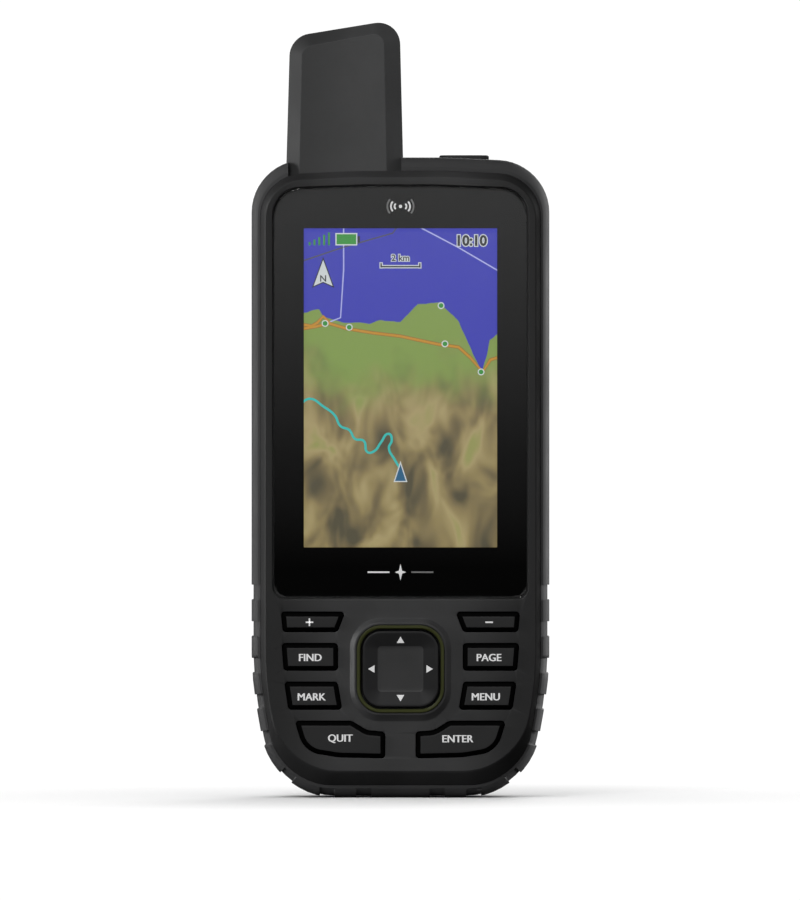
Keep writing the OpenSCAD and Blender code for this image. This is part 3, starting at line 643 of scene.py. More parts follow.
# The white print gets a painted glow.
glow(WHITE, 0.3)
STEEL = moulded("stainless_steel", (0.42, 0.42, 0.41), rough=0.32, metallic=1, bump=0.05)
MASK = moulded("lens_print", (0.0015, 0.0015, 0.0015), rough=0.9, bump=0.0, specular=0.0)
LENS_GLASS = glass("lens_glass", (1, 1, 1, 1), 0.0)


# ---- front pieces ----


def front_housing():
    """The front plate with its sloping rim, key wells, lens seat and rocker collar."""
    bm = bmesh.new()
    _, brim = walls(bm, SEAM, [(0, SPLIT_Y), (0, SEAM_Y + 0.1), (0.08, SEAM_Y)])
    inner, deep = walls(bm, SEAM, [(2.6, SPLIT_Y), (2.6, FACE_Y + PLATE_T)])
    loft(bm, [ring(bm, SEAM, SPLIT_Y), inner])
    slope = [ring(bm, between(SEAM, FACE, t), SEAM_Y + (FACE_Y - SEAM_Y) * t)
             for t in (0.12, 0.5, 0.9)]
    edge = [ring(bm, FACE, y, d) for d, y in ((0.03, FACE_Y + 0.1), (0.22, FACE_Y))]
    rim = loft(bm, [brim] + slope + edge)
    tops, deeps = [rim], [deep]
    for corners in WELLS.values():
        profile = [(-0.14, FACE_Y), (-0.04, FACE_Y + 0.04), (0, FACE_Y + 0.16)]
        top, low = walls(bm, corners, profile + [(0, FACE_Y + PLATE_T)])
        tops.append(top)
        deeps.append(low)
    top, seat = walls(bm, LENS, [(-0.22, FACE_Y), (-0.14, FACE_Y + 0.03), (-0.1, FACE_Y + 0.12),
                                 (-0.1, FACE_Y + 1.3)])
    tops.append(top)
    x0, z0, x1, z1 = PICTURE
    window = rectangle(x0 - 0.9, z0 - 0.9, x1 + 0.9, z1 + 0.9, 0.5)
    sill, low = walls(bm, window, [(0, FACE_Y + 1.3), (0, FACE_Y + PLATE_T)])
    sheet_between(bm, [seat, sill])
    deeps.append(low)
    collar = []
    for half, r, y, drop in (
        (RING_HALF + 1.5, 6.5, FACE_Y, 0.25), (RING_HALF + 1.25, 6.3, FACE_Y - 0.05, 0.2),
        (RING_HALF + 0.45, 5.5, FACE_Y - 0.68, 0.0), (RING_HALF + 0.3, 5.35, FACE_Y - 0.78, 0.0),
        (RING_HALF + 0.22, 5.3, FACE_Y - 0.8, 0.0), (RING_HALF, 5.3, FACE_Y - 0.8, 0.0),
        (RING_HALF, 5.3, FACE_Y - 0.3, 0.0), (RING_HALF - 0.9, 4.4, FACE_Y - 0.3, 0.0),
        (RING_HALF - 0.9, 4.4, FACE_Y + PLATE_T, 0.0),
    ):
        collar.append(ring(bm, square(half, r, drop), y))
    deeps.append(loft(bm, collar))
    tops.append(collar[0])
    sheet_between(bm, tops)
    sheet_between(bm, deeps)
    return piece("front_housing_shell", bm, "case", "front_housing", HOUSING,
                 sharp=24)


def lens():
    """The cover glass and the black print on its back, open over the picture."""
    bm = bmesh.new()
    back, front_y = FACE_Y + LENS_T, FACE_Y + 0.02
    profile = [(LENS_GAP, back)] + turned_edge(LENS_GAP, front_y, 0.1)
    profile.append((LENS_GAP + 0.5, front_y))
    walls(bm, LENS, profile, cap=(True, True))
    pane = piece("lens_glass_pane", bm, "case", "display_lens", LENS_GLASS)
    pane.visible_shadow = False
    pane.visible_diffuse = False
    bm = bmesh.new()
    x0, z0, x1, z1 = PICTURE
    front = ring(bm, LENS, back + 0.01, LENS_GAP)
    rear = ring(bm, LENS, back + 0.05, LENS_GAP)
    loft(bm, [front, rear])
    hole = rectangle(x0, z0, x1, z1, 0.15)
    near, far = walls(bm, hole, [(0, back + 0.01), (0, back + 0.05)])
    sheet_between(bm, [front, near])
    sheet_between(bm, [rear, far])
    piece("lens_black_print", bm, "case", "display_lens", MASK)


def key(name):
    """One key cap: a flange under the plate, flanks in painted shade and a flat face with eased edges.
    """
    bm = bmesh.new()
    profile = [
        (-0.6, FLANGE_Y + 0.8), (-0.6, FLANGE_Y), (0.15, FLANGE_Y),
        (0.15, FACE_Y + 0.6), (0.3, FACE_Y + 0.45), (0.95, KEY_TOP + 0.1),
        (1.02, KEY_TOP + 0.02), (1.15, KEY_TOP), (1.4, KEY_TOP),
    ]
    walls(bm, WELLS[name], profile, cap=(True, True))
    cap = piece(f"key_{name}_cap", bm, f"key_{name}", f"key_{name}", KEYS)
    paint_shade_below(cap, 0.06, facing=1.1)


def paint_shade_below(obj, depth, facing):
    """Gives faces deeper than depth below the front a near-black painted shade, if they turn
    further from the front than facing or lie near the cap's sides."""
    obj.data.materials.append(FLANK_SHADE)
    front = min(v.co.y for v in obj.data.vertices)
    reach = max(v.co.x for v in obj.data.vertices) - 1.9 * MM
    for poly in obj.data.polygons:
        turned = abs(poly.normal.y) < facing or abs(poly.center.x) > reach
        if turned and poly.center.y > front + depth * MM:
            poly.material_index = 1


def rocker():
    """The concave rocker pad over its flange."""
    bm = bmesh.new()
    pad = square(PAD_HALF, 3.95)
    top = PAD_LO.y
    profile = [(0, PAD_HI.y - 0.55), (0, top + 0.25), (0.07, top + 0.08), (0.22, top),
               (0.5, top + 0.01), (0.8, top + 0.1), (3.2, top + DISH - 0.06),
               (3.6, top + DISH), (4.2, top + DISH)]
    walls(bm, pad, profile, cap=(True, True))
    walls(bm, square(8.9, 5), [(0, PAD_HI.y), (0, PAD_HI.y - 0.55)], cap=(True, True))
    pad_cap = piece("rocker_pad_cap", bm, "rocker", "rocker_pad", PAD, sharp=50)
    # The pad's flanks get the painted shade.
    paint_shade_below(pad_cap, 0.16, facing=0.5)
    pad_cap.data.materials.append(PAINTED_LIGHT_CENTRE)
    # The flat middle of the dish, facing the front, gets the painted light.
    for poly in pad_cap.data.polygons:
        deep = poly.center.y > (top + DISH - 0.1) * MM and abs(poly.center.x) < 5 * MM
        if deep and poly.normal.y < -0.9:
            poly.material_index = 2
    rocker_ring()


def rocker_ring():
    """The olive trim ring round the rocker's well."""
    bm = bmesh.new()
    outer = [(0.2, RING_HI.y)] + turned_edge(0.2, RING_LO.y, 0.12)
    _, front = walls(bm, square(RING_HALF, 5.3), outer)
    inner_front = ring(bm, square(RING_HALF - 0.9, 4.4), RING_LO.y, -0.15)
    inner = [ring(bm, square(RING_HALF - 0.9, 4.4), RING_LO.y + 0.15),
             ring(bm, square(RING_HALF - 0.9, 4.4), RING_HI.y)]
    base = ring(bm, square(RING_HALF, 5.3), RING_HI.y, 0.2)
    loft(bm, [front, inner_front] + inner + [base])
    piece("rocker_olive_ring", bm, "case", "rocker_ring", OLIVE)


GROOVE_H = 3.2
GROOVE_PITCH = 7.7
RELIEF = 0.4


def groove(bm, x, z, angle):
    """One groove across the band, at a point of its outline, facing outwards at an angle."""
    out = Vector((math.cos(angle), 0, math.sin(angle)))
    along = Vector((-out.z, 0, out.x))
    point = Vector((x, 0, z))
    for side in (-1, 1):
        geom = bm.verts[:] + bm.edges[:] + bm.faces[:]
        bmesh.ops.bisect_plane(bm, geom=geom, plane_co=point + along * side * GROOVE_H / 2,
                               plane_no=along, dist=0.0001)
    faces = []
    for f in bm.faces:
        off = f.calc_center_median() - point
        if abs(off.dot(along)) < GROOVE_H / 2 and off.dot(out) > -1.9 and f.normal.dot(out) > 0.12:
            faces.append(f)
    made = bmesh.ops.extrude_face_region(bm, geom=faces)
    verts = [v for v in made["geom"] if isinstance(v, bmesh.types.BMVert)]
    bmesh.ops.translate(bm, vec=-out * RELIEF, verts=verts)
    bmesh.ops.delete(bm, geom=faces, context="FACES_ONLY")


def grip_band():
    """The rubber band round the case, with grooves on its lower half and two openings."""
    bm = bmesh.new()
    loops = [ring(bm, SEAM, SEAM_Y)]
    for k in range(1, 7):
        a = math.radians(90 * k / 6)
        t = 1 - math.sin(a)
        loops.append(ring(bm, between(OUTSIDE, SEAM, t), SEAM_Y + 2.0 * (1 - math.cos(a))))
    for d, y in ((0, BAND_Y - 1.6), (0.12, BAND_Y - 0.7), (0.4, BAND_Y - 0.12), (0.6, BAND_Y)):
        loops.append(ring(bm, OUTSIDE, y, d))
    loops.append(ring(bm, SEAM, BAND_Y))
    loops.append(loops[0])
    loft(bm, loops)
    bmesh.ops.recalc_face_normals(bm, faces=bm.faces)
    places = []
    for i in range(5):
        z = 12.35 + i * GROOVE_PITCH
        x = HALF_W if z > WAIST_Z else HALF_W - (WAIST_Z - z) * LEAN
        tilt = 0 if z > WAIST_Z else -math.atan(LEAN)
        places.append((x, z, tilt))
    places += [(GROOVE_PITCH, 0, -math.pi / 2), (2 * GROOVE_PITCH, 0, -math.pi / 2)]
    a = math.radians(-48)
    centre = (FOOT_HALF - 15.5 * math.tan(math.radians(40)), 15.5)
    places.append((centre[0] + 15.5 * math.cos(a), centre[1] + 15.5 * math.sin(a), a))
    for x, z, angle in places:
        groove(bm, x, z, angle)
        groove(bm, -x, z, math.pi - angle)
    obj = piece("grip_band_rubber", bm, "case", "grip_band", RUBBER, sharp=26)
    notch = bmesh.new()
    add_box(notch, (ANT_LO.x + 0.5, SEAM_Y - 1, CASE_H - 15), (ANT_HI.x - 0.5, SEAM_Y + 8, CASE_H + 5))
    slot = bmesh.new()
    upright_box(slot, (POWER_LO.x - 0.2, POWER_LO.y - 0.2, CASE_H - 12),
                (POWER_HI.x + 0.2, POWER_HI.y + 0.2, CASE_H + 5), 2.45)
    cut(obj, [cutter(notch), cutter(slot)])
    return obj


def leaned(bm, edges, lean):
    """Tilts a loop backwards up its height."""
    z0 = ANT_LO.z
    for v in {v for e in edges for v in e.verts}:
        v.co.y += lean * (v.co.z - z0) / (ANT_HI.z - z0)


def antenna():
    """The antenna cover: a chamfered stub that leans back a little and slopes at its tip."""
    bm = bmesh.new()
    x0, x1, z0, z1 = ANT_LO.x, ANT_HI.x, ANT_LO.z - 1, ANT_HI.z
    y0, y1 = ANT_LO.y, ANT_HI.y
    body = [(x0, z0, 0.1), (x1, z0, 0.1), (x1 - 0.85, z1 + 0.78, 4.7), (x0 + 0.85, z1 - 3.0, 4.7)]
    front = [(x0 + 2.8, z0, 0.1), (x1 - 3.5, z0, 0.1), (x1 - 4.15, z1 - 2.1, 2.2),
             (x0 + 3.4, z1 - 5.3, 2.2)]
    rear = [(x0 + 2.6, z0, 0.1), (x1 - 2.6, z0, 0.1), (x1 - 3.4, z1 - 2.1, 2.2),
            (x0 + 3.4, z1 - 5.5, 2.2)]
    loops = [ring(bm, front, y0, cap=True), ring(bm, body, y0 + 2.6), ring(bm, body, y1 - 2.6),
             ring(bm, rear, y1, cap=True)]
    for loop, lean in zip(loops, (1.8, 1.8, -0.8, -0.8)):
        leaned(bm, loop, lean)
    loft(bm, loops)
    obj = piece("antenna_cover_shell", bm, "case", "antenna_cover", ANTENNA,
                sharp=20, soft=0.4)
    obj.modifiers[0].segments = 4
    return obj


def upright_box(bm, lo, hi, r):
    """A box with its four upright edges rounded."""
    verts = add_box(bm, lo, hi)
    upright = [e for e in bm.edges if e.verts[0] in verts and abs(
        e.verts[0].co.z - e.verts[1].co.z) > 1]
    bmesh.ops.bevel(bm, geom=upright, affect="EDGES", offset=r, segments=6, profile=0.5,
                    material=-1)


def power_button():
    """The rubber cap on the top shoulder over its narrower stem."""
    lo, hi = POWER_LO, POWER_HI
    bm = bmesh.new()
    upright_box(bm, (lo.x + 0.02, lo.y + 0.02, hi.z - 2.4), (hi.x - 0.02, hi.y - 0.02, hi.z), 2.3)
    rim = [e for e in bm.edges if all(v.co.z > hi.z - 0.01 for v in e.verts)]
    bmesh.ops.bevel(bm, geom=rim, affect="EDGES", offset=0.35, segments=3, profile=0.5,
                    material=-1)
    upright_box(bm, (lo.x + 2, lo.y + 1.6, lo.z), (hi.x - 2, hi.y - 1.6, hi.z - 2.3), 0.8)
    return piece("power_button_cap", bm, "power", "power_button", RUBBER, sharp=40)


# ---- lettering and signs ----


def lettering(name, words, size, x, y, z, material, body, thick=0.0, deep=0.02, bold=0):
    """Raised print of a few letters, centred at x and z, its face at depth y (millimetres)."""
    data = bpy.data.curves.new(name, "FONT")
    data.body = words
    data.size = size
    data.align_x = "CENTER"
    data.offset = thick
    data.extrude = deep
    data.resolution_u = 3
    mesh = mesh_from(name, data)
    top = max(v.co.y for v in mesh.vertices)
    low = min(v.co.y for v in mesh.vertices)
    mesh.transform(Matrix.Translation((0, -(top + low) / 2, 0)))
    mesh.transform(Matrix.Rotation(math.pi / 2, 4, "X"))
    mesh.transform(Matrix.Translation((x, y + deep, z)))
    bm = bmesh.new()
    bm.from_mesh(mesh)
    if bold:
        again = bmesh.ops.duplicate(bm, geom=bm.verts[:] + bm.edges[:] + bm.faces[:])["geom"]
        moving = [v for v in again if isinstance(v, bmesh.types.BMVert)]
        bmesh.ops.translate(bm, vec=(bold, 0.004, 0), verts=moving)
        bmesh.ops.translate(bm, vec=(-bold / 2, 0, 0), verts=bm.verts)
    return piece(name, bm, body, None, material)


LEGENDS = {
    "find": "FIND", "page": "PAGE", "mark": "MARK", "menu": "MENU", "quit": "QUIT",
    "enter": "ENTER",
}


def legends():
    """The words and signs printed on the keys."""
    places = {"find": (-18.95, 29.5), "mark": (-18.7, 21.25), "quit": (-12.65, 12.45)}
    places.update(page=(-places["find"][0] - 0.4, places["find"][1]),
                  menu=(17.9, places["mark"][1]), enter=(11.95, places["quit"][1]))
    for name, words in LEGENDS.items():
        x, z = places[name]
        lettering(f"key_{name}_legend", words, 2.2, x, KEY_TOP - 0.015, z, WHITE,
                  f"key_{name}", bold=0.13)
    for name, x in (("plus", -19.1), ("minus", 18.6)):
        bm = bmesh.new()
        z = ROCKER_Z + 9.8
        y = KEY_TOP
        add_box(bm, (x - 0.8, y - 0.015, z - 0.16), (x + 0.8, y + 0.02, z + 0.16))
        if name == "plus":
            add_box(bm, (x - 0.16, y - 0.015, z - 0.8), (x + 0.16, y + 0.02, z + 0.8))
        piece(f"key_{name}_sign", bm, f"key_{name}", None, WHITE)


def rocker_arrows():
    """Four printed arrows on the rocker's slopes."""
    near, far = 5.45, 6.8
    slope = (DISH - 0.16) / 2.4
    start = PAD_LO.y + 0.08 + (PAD_HALF - 0.8) * slope
    for i, name in enumerate(("right", "up", "left", "down")):
        bm = bmesh.new()
        points = [(far, 0), (near, 0.8), (near, -0.8)]
        flat_solid(bm, [(r, start - r * slope, s) for r, s in points], 0.05)
        turn = Matrix.Rotation(-math.radians(90 * i), 4, "Y")
        bmesh.ops.transform(bm, matrix=turn, verts=bm.verts)
        bmesh.ops.translate(bm, vec=(0, 0, ROCKER_Z), verts=bm.verts)
        piece(f"rocker_arrow_{name}", bm, "rocker", None, WHITE)


PRINT_T = 0.008


def lens_signs():
    """Plain printed signs on the glass: a compass star below, radio waves above."""
    grey = moulded("sign_grey", (0.35, 0.35, 0.35), rough=0.6, bump=0.0, drift=0.03)
    compass_star(47.4, grey)
    radio_waves(124.2, grey)


def compass_star(middle, grey):
    """A four-pointed star between two short lines, at height middle."""
    y = FACE_Y + 1.03
    for i in range(4):
        bm = bmesh.new()
        reach = 1.75 if i % 2 == 0 else 1.2
        flat_solid(bm, [(0, y, 0), (0.32, y, 0.32), (0, y, reach), (-0.32, y, 0.32)], PRINT_T)
        bmesh.ops.transform(bm, matrix=Matrix.Rotation(math.radians(90 * i), 4, "Y"),
                            verts=bm.verts)
        bmesh.ops.translate(bm, vec=(0, 0, middle), verts=bm.verts)
        piece(f"compass_star_{i}", bm, "case", None, WHITE)
    for side, paint in ((-1, WHITE), (1, grey)):
        bm = bmesh.new()
        x = side * 4.6
        add_box(bm, (x - 2.3, y, middle - 0.16), (x + 2.3, y + PRINT_T, middle + 0.16))
        piece(f"star_line_{side + 1}", bm, "case", None, paint)


def radio_waves(middle, grey):
    """Three arcs on each side of a dot, at height middle."""
    y = FACE_Y + 1.03
    half, sweep = 0.17, 72
    for i, r in enumerate((0.75, 1.5, 2.25)):
        for side in (-1, 1):
            bm = bmesh.new()
            add_box(bm, (-half, y, r - half), (half, y + PRINT_T, r + half))
            start = Matrix.Rotation(math.radians(90 - sweep / 2), 4, "Y")
            bmesh.ops.transform(bm, matrix=start, verts=bm.verts)
            end = [f for f in bm.faces if f.normal.z < -0.5 and abs(f.normal.y) < 0.1]
            bmesh.ops.spin(bm, geom=end, cent=(0, y, 0), axis=(0, 1, 0),
                           angle=math.radians(sweep), steps=10, use_merge=False)
            if side < 0:
                bmesh.ops.transform(bm, matrix=Matrix.Scale(-1, 4, (1, 0, 0)), verts=bm.verts)
            bmesh.ops.translate(bm, vec=(side * 0.5, 0, middle), verts=bm.verts)
            paint = WHITE if i < 2 else grey
            piece(f"radio_wave_{i}_{side + 1}", bm, "case", None, paint)
    bm = bmesh.new()
    disc(bm, 0, y + PRINT_T / 2, middle, 0.36, PRINT_T, 16)
    piece("radio_dot", bm, "case", None, WHITE)


# ---- the display's picture ----

PICTURE_Y = MODULE_LO.y - 0.1
INK_T = 0.02
LAYER_T = 0.03


def layer_y(layer):
    """Depth of one of the thin layers of signs in front of the picture."""
    return PICTURE_Y - LAYER_T * layer


def on_picture(u, v):
    """A point of the picture from its shares of the width and the height."""
    x0, z0, x1, z1 = PICTURE
    return x0 + (x1 - x0) * u, z0 + (z1 - z0) * v


def strip(name, points, width, ink, layer, smooth=True):
    """A flat line of ink through the points, in one of the picture's thin layers."""
    data = bpy.data.curves.new(name, "CURVE")
    data.dimensions = "3D"
    data.resolution_u = 5
    data.bevel_depth = width / 2
    data.bevel_resolution = 0
    data.use_fill_caps = True
    spline = data.splines.new("BEZIER")
    spline.bezier_points.add(len(points) - 1)
    for bead, (u, v) in zip(spline.bezier_points, points):
        x, z = on_picture(u, v)
        bead.co = (x, 0, z)
        bead.handle_left_type = bead.handle_right_type = "AUTO" if smooth else "VECTOR"
    mesh = mesh_from(name, data)
    mesh.transform(Matrix.Diagonal((1, INK_T / width, 1, 1)))
    mesh.transform(Matrix.Translation((0, layer_y(layer), 0)))
    bm = bmesh.new()
    bm.from_mesh(mesh)
    x0, z0, x1, z1 = PICTURE
    for at, way in (((x0, 0, z0), (-1, 0, 0)), ((x1, 0, z1), (1, 0, 0)), ((x1, 0, z1), (0, 0, 1))):
        geom = bm.verts[:] + bm.edges[:] + bm.faces[:]
        bmesh.ops.bisect_plane(bm, geom=geom, plane_co=at, plane_no=way, clear_outer=True)
    return piece(name, bm, "case", None, ink)


def sign(name, points, ink, layer, rim=None, rim_ink=None):
    """A flat sign of straight sides, with a rim of another ink under it."""
    for part, grow, paint, level in (("", 0, ink, layer), ("_rim", rim, rim_ink, layer - 1)):
        if paint is None:
            continue
        corners = [(x, z, 0.01) for x, z in points]
        outline = moved(corners, -grow) if grow else corners
        bm = bmesh.new()
        flat_solid(bm, [(x, layer_y(level), z) for x, z, _ in outline], -INK_T)
        piece(name + part, bm, "case", None, paint)


def plate_of(u, v, w, h):
    """Corners of an upright oblong of w by h millimetres, centred on the picture."""
    x, z = on_picture(u, v)
    return [(x - w / 2, z - h / 2), (x + w / 2, z - h / 2), (x + w / 2, z + h / 2),
            (x - w / 2, z + h / 2)]


def spot(name, u, v, r, ink, layer):
    """A round dot of ink on the picture."""
    bm = bmesh.new()
    x, z = on_picture(u, v)
    disc(bm, x, layer_y(layer), z, r, INK_T, 20)
    piece(name, bm, "case", None, ink)


def caption(name, words, size, u, v, inks, layer, bold=0.04, rim=0.16):
    """Dark letters on a pale rim."""
    x, z = on_picture(u, v)
    ink, rim_ink = inks
    y = layer_y(layer)
    lettering(name, words, size, x, y, z, ink, "case", thick=bold, deep=0.01)
    lettering(name + "_rim", words, size, x, y + LAYER_T, z, rim_ink, "case",
              thick=bold + rim, deep=0.01)


def picture():
    """The lit map with the roads, marks and signs drawn on it."""
    x0, z0, x1, z1 = PICTURE
    bm = bmesh.new()
    add_box(bm, (x0, PICTURE_Y, z0), (x1, MODULE_LO.y - 0.01, z1))
    piece("display_map", bm, "case", None, map_picture())
    inks = {
        name: printed(f"ink_{name}", srgb(code), SCREEN_LIGHT)
        for name, code in (
            ("orange", "bd8620"), ("umber", "8f6a2a"), ("cyan", "2bb5ae"), ("green", "2c8a34"),
            ("pale", "c9cfd0"), ("black", "1c1e22"), ("blue", "1d5b80"), ("grey", "4a4a52"),
            ("mist", "a9aede"),
        )
    }
    roads(inks)
    status_signs(inks)


def roads(inks):
    """Roads, thin lines, the track flown and the waypoints."""
    main = [(-0.02, 0.684), (0.06, 0.692), (0.13, 0.702), (0.22, 0.686), (0.36, 0.672),
            (0.5, 0.662), (0.7, 0.636), (0.8, 0.628), (0.86, 0.596), (0.925, 0.55),
            (0.965, 0.588), (1.02, 0.598)]
    spur = [(-0.02, 0.7), (0.04, 0.694), (0.07, 0.704), (0.1, 0.724), (0.14, 0.7)]
    for name, points in (("road_main", main), ("road_spur", spur)):
        strip(f"{name}_edge", points, 0.75, inks["umber"], 1, smooth=False)
        strip(name, points, 0.45, inks["orange"], 2, smooth=False)
    strip("border_line", [(-0.02, 0.895), (0.2, 0.94), (0.46, 0.985), (0.5, 1.02)], 0.3,
          inks["grey"], 1, smooth=False)
    strip("ferry_line_left", [(0.206, 1.02), (0.206, 0.87), (0.19, 0.72), (0.13, 0.706)], 0.28,
          inks["mist"], 1, smooth=False)
    strip("ferry_line_right", [(0.58, 1.01), (0.8, 0.94), (1.02, 0.862)], 0.28, inks["mist"], 1,
          smooth=False)
    strip("flown_track", [(-0.02, 0.448), (0.03, 0.466), (0.1, 0.442), (0.16, 0.414),
                          (0.19, 0.38), (0.235, 0.368), (0.265, 0.34), (0.31, 0.334),
                          (0.33, 0.298), (0.365, 0.302), (0.4, 0.33), (0.44, 0.356),
                          (0.455, 0.336), (0.44, 0.312), (0.47, 0.275), (0.495, 0.25)],
          0.5, inks["cyan"], 2)
    for i, (u, v) in enumerate(((0.11, 0.702), (0.235, 0.69), (0.71, 0.758), (0.73, 0.638),
                                (0.917, 0.55))):
        spot(f"waypoint_{i}_rim", u, v, 0.72, inks["pale"], 3)
        spot(f"waypoint_{i}", u, v, 0.5, inks["green"], 4)


def status_signs(inks):
    """Own position, north arrow, signal, battery, clock and scale."""
    x, z = on_picture(0.5, 0.232)
    sign("own_position", [(x - 1.15, z - 1.6), (x + 1.15, z - 1.6), (x, z + 1.9)], inks["blue"],
         4, 0.22, inks["pale"])
    x, z = on_picture(0.1, 0.858)
    sign("north_arrow", [(x, z - 1.7), (x + 2.0, z - 2.6), (x, z + 2.9), (x - 2.0, z - 2.6)],
         inks["pale"], 3, 0.22, inks["black"])
    lettering("north_letter", "N", 1.9, x, PICTURE_Y - 0.16, z - 1.0, inks["black"], "case",
              thick=0.03, deep=0.01)
    for i in range(5):
        h = 0.7 + 0.5 * i
        sign(f"signal_bar_{i}", plate_of(0.03 + 0.025 * i, 0.947 + h / 134, 0.42, h),
             inks["green"], 2)
    sign("battery_sign", plate_of(0.22, 0.966, 4.1, 2.1), inks["green"], 3, 0.25, inks["pale"])
    sign("battery_sign_tip", plate_of(0.284, 0.966, 0.5, 1.3), inks["black"], 2)
    caption("clock", "10:10", 3.0, 0.865, 0.962, (inks["black"], inks["pale"]), 4, 0.11, 0.2)
    bar = plate_of(0.5, 0.88, 8.4, 0.3)
    sign("scale_bar", bar, inks["black"], 3, 0.2, inks["pale"])
    for side in (-1, 1):
        sign(f"scale_tick_{side + 1}", plate_of(0.5 + side * 0.1, 0.884, 0.3, 0.9),
             inks["black"], 3, 0.2, inks["pale"])
    caption("scale_words", "2 km", 1.9, 0.5, 0.908, (inks["black"], inks["pale"]), 4, 0.03, 0.16)


# ---- rest of the object: solids carried over with their own finishes ----

def carried_finishes():
    """The finish of each solid that is shown as it is."""
    metal = STEEL
    dark_metal = moulded("black_steel", (0.05, 0.05, 0.05), rough=0.4, metallic=0.8)
    board = moulded("circuit_green", (0.02, 0.09, 0.04), rough=0.4)
    gold = moulded("gold_plate", (0.8, 0.55, 0.18), rough=0.3, metallic=1)
    white = moulded("white_film", (0.7, 0.7, 0.68), rough=0.5)
    amber = moulded("amber_film", (0.45, 0.2, 0.03), rough=0.35)
    foam = moulded("gasket_foam", (0.02, 0.02, 0.02), rough=0.9)
    silicone = moulded("grey_silicone", (0.16, 0.17, 0.16), rough=0.65)
    ceramic = moulded("former_ceramic", (0.72, 0.68, 0.58), rough=0.6)
    copper = moulded("copper_strip", (0.7, 0.3, 0.14), rough=0.3, metallic=1)
    wrap = moulded("battery_wrap", (0.03, 0.05, 0.09), rough=0.35)
    black = moulded("black_plastic", (0.015, 0.015, 0.015), rough=0.45)
    frosted = moulded("clear_plastic", (0.55, 0.57, 0.58), rough=0.12, bump=0.0, coat=0.5)
    amber_led = moulded("led_resin", (0.8, 0.75, 0.4), rough=0.3)
    screen = moulded("screen_back", (0.03, 0.03, 0.03), rough=0.4)
    return {
        "antenna_former": ceramic, "antenna_helix": copper, "antenna_feed": board,
        "lens_gasket": foam, "display_module": screen, "display_ribbon": amber,
        "rocker_pivot": metal, "keypad_membrane": silicone, "dome_sheet": metal,
        "key_board": board, "inner_frame": metal, "main_board": board, "rf_shields": metal,
        "board_screws": metal, "housing_seal": silicone, "housing_screws": dark_metal,
        "power_switch": metal, "io_board": board, "board_link": black, "usb_port": metal,
        "torch_lens": frosted, "torch_led": amber_led, "buzzer": black,
        "vent_membrane": white, "cover_seal": silicone, "battery_pack": wrap,
        "battery_contacts": gold, "card_slot": metal, "memory_card": black,
        "latch_barrel": dark_metal, "latch_tongue": metal, "latch_screw": metal,
        "latch_ring": metal,
        "rear_housing": HOUSING,
    }


def soft_back_pieces():
    """The lid and the cap of the data socket, with their edges eased."""
    for node, body, material, slot, soft in (
        ("battery_cover", "cover", HOUSING, "housing_plastic", 0.18),
        ("usb_cap", "socket_cap", RUBBER, "grip_rubber", 0.15),
        ("latch_clip", "latch", STEEL, "bare_steel", 0.08),
    ):
        piece(f"{node}_eased", solid_copy(node), body, node, material, soft=soft)


def dress_solids():
    """Gives the solids that are shown as they are their finishes."""
    for node, material in carried_finishes().items():
        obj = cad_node(node)
        obj.data.materials.clear()
        obj.data.materials.append(material)


# ---- studio ----


def studio():
    """The camera, a white room and the lamps."""
    camera = bpy.data.cameras.new("camera")
    camera.lens = 600
    camera.sensor_width = 36
    camera.clip_start, camera.clip_end = 0.01, 20
    holder = bpy.data.objects.new("camera", camera)
    bpy.context.scene.collection.objects.link(holder)
    height = 900 / 4.75 * MM
    distance = height * camera.lens / camera.sensor_width
    holder.location = (-0.0001, -7 * MM - distance, 0.07305)
    holder.rotation_euler = (math.pi / 2, 0, 0)
    bpy.context.scene.camera = holder
    bpy.context.scene.view_settings.view_transform = "Standard"
    surroundings()
    ground = floor()
    lamp("floor_light", (0, -0.1, 1.0), (3.0, 3.0), 24.5, (0, 0, 0), only=[ground])
    lamp("front_light", (-0.35, -1.2, 0.9), (0.5, 0.5), 6)
    band, shell, aerial = [
        bpy.data.objects[name]
        for name in ("grip_band_rubber", "front_housing_shell", "antenna_cover_shell")
    ]
    lamp("right_light", (0.8, 0.06, 0.15), (0.2, 0.5), 9, only=[band])
    lamp("back_light", (0.3, 1.2, 0.7), (0.6, 0.6), 9)
    lamp("left_light", (-0.8, -0.2, 0.15), (0.2, 0.5), 6.8, only=[band])
    lamp("left_fill", (-0.8, -0.14, 0.15), (0.2, 0.5), 4.2, only=[shell])
    lamp("left_glow", (-0.8, -0.14, 0.15), (0.2, 0.5), 2.2, only=[aerial])


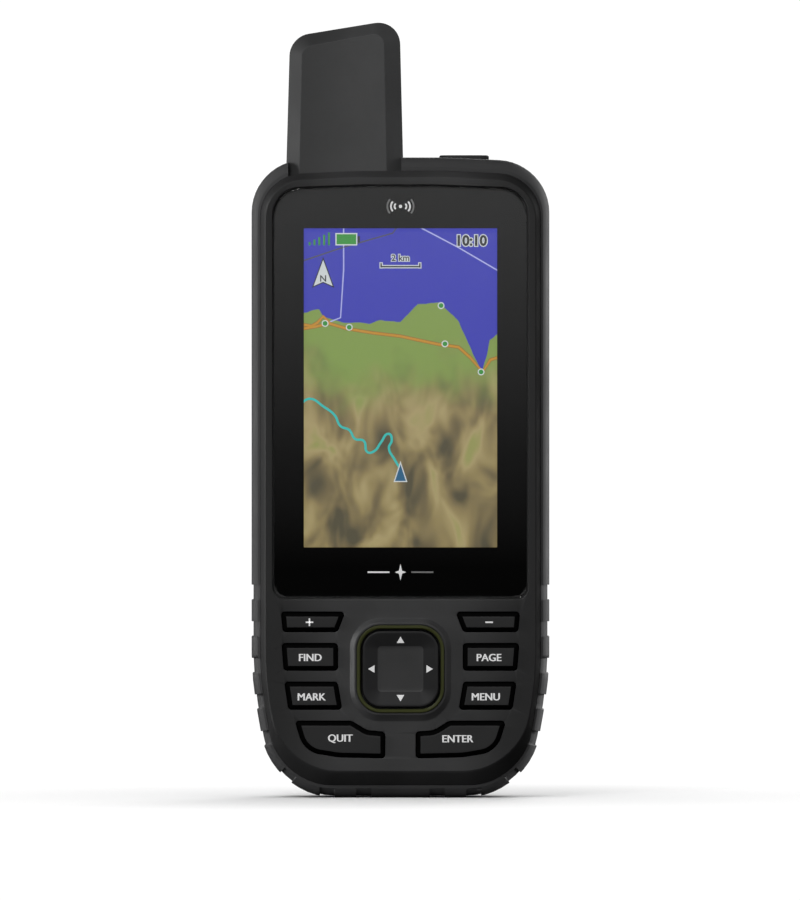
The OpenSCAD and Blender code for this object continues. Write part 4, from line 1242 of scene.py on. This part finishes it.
def surroundings():
    """White behind the object; everything else sees a dim room with a bright band of windows."""
    world = bpy.data.worlds.new("studio")
    bpy.context.scene.world = world
    world.use_nodes = True
    nodes = Nodes(world.node_tree)
    world.node_tree.nodes.clear()
    out = nodes.add("ShaderNodeOutputWorld")
    place = nodes.add("ShaderNodeTexCoord")
    parts = nodes.add("ShaderNodeSeparateXYZ")
    nodes.join(place, parts, "Generated", 0)
    band = nodes.add("ShaderNodeValToRGB")
    ramp = band.color_ramp
    ramp.interpolation = "EASE"
    ramp.elements[0].position = 0.495
    ramp.elements[0].color = (0.009, 0.009, 0.009, 1)
    ramp.elements[1].position = 0.8
    ramp.elements[1].color = (0.05, 0.05, 0.05, 1)
    for height, level in ((0.5125, 0.55), (0.62, 0.5)):
        stop = ramp.elements.new(height)
        stop.color = (level, level, level, 1)
    height = ranged(nodes, parts, "Z", (-1, 1))
    nodes.join(height, band, "Result", "Fac")
    room = nodes.add("ShaderNodeBackground")
    nodes.join(band, room, "Color", "Color")
    bright = nodes.add("ShaderNodeBackground")
    bright.inputs["Strength"].default_value = 1.05
    bright.inputs["Color"].default_value = (1, 1, 1, 1)
    path = nodes.add("ShaderNodeLightPath")
    mix = nodes.add("ShaderNodeMixShader")
    nodes.join(path, mix, "Is Camera Ray", 0)
    nodes.join(room, mix, 0, 1)
    nodes.join(bright, mix, 0, 2)
    nodes.join(mix, out)


def lamp(name, place, size, power, aim=(0, 0, 0.08), only=()):
    """A soft oblong light that faces a point; it may light only some pieces."""
    data = bpy.data.lights.new(name, "AREA")
    data.shape = "RECTANGLE"
    data.size, data.size_y = size
    data.energy = power
    obj = bpy.data.objects.new(name, data)
    bpy.context.scene.collection.objects.link(obj)
    obj.location = place
    obj.rotation_euler = (Vector(aim) - Vector(place)).to_track_quat("-Z", "Y").to_euler()
    if only:
        lit = bpy.data.collections.new(f"{name}_only")
        for piece_lit in only:
            lit.objects.link(piece_lit)
        obj.light_linking.receiver_collection = lit
    return obj


def floor():
    """A white floor that shows the soft shadow near the foot and fades into the room."""
    bm = bmesh.new()
    bmesh.ops.create_grid(bm, x_segments=1, y_segments=1, size=400)
    material, nodes, out = blank("floor_white")
    shader = nodes.add("ShaderNodeBsdfPrincipled")
    shader.inputs["Base Color"].default_value = (0.9, 0.9, 0.9, 1)
    shader.inputs["Roughness"].default_value = 0.9
    shader.inputs["Specular IOR Level"].default_value = 0
    bright = nodes.add("ShaderNodeEmission")
    bright.inputs["Strength"].default_value = 1.05
    place = nodes.add("ShaderNodeTexCoord")
    reach = nodes.add("ShaderNodeVectorMath", operation="LENGTH")
    nodes.join(place, reach, "Object", 0)
    far = ranged(nodes, reach, "Value", (0.05, 0.16), smooth=True)
    blend = nodes.add("ShaderNodeMixShader")
    nodes.join(far, blend, "Result", 0)
    nodes.join(shader, blend, 0, 1)
    nodes.join(bright, blend, 0, 2)
    nodes.join(blend, out)
    obj = piece("studio_floor", bm, None, None, material)
    obj.visible_diffuse = False
    obj.visible_glossy = False
    return obj


front_housing()
lens()
for key_name in WELLS:
    key(key_name)
rocker()
grip_band()
antenna()
power_button()
legends()
rocker_arrows()
lens_signs()
picture()
soft_back_pieces()
dress_solids()
studio()

note_size()
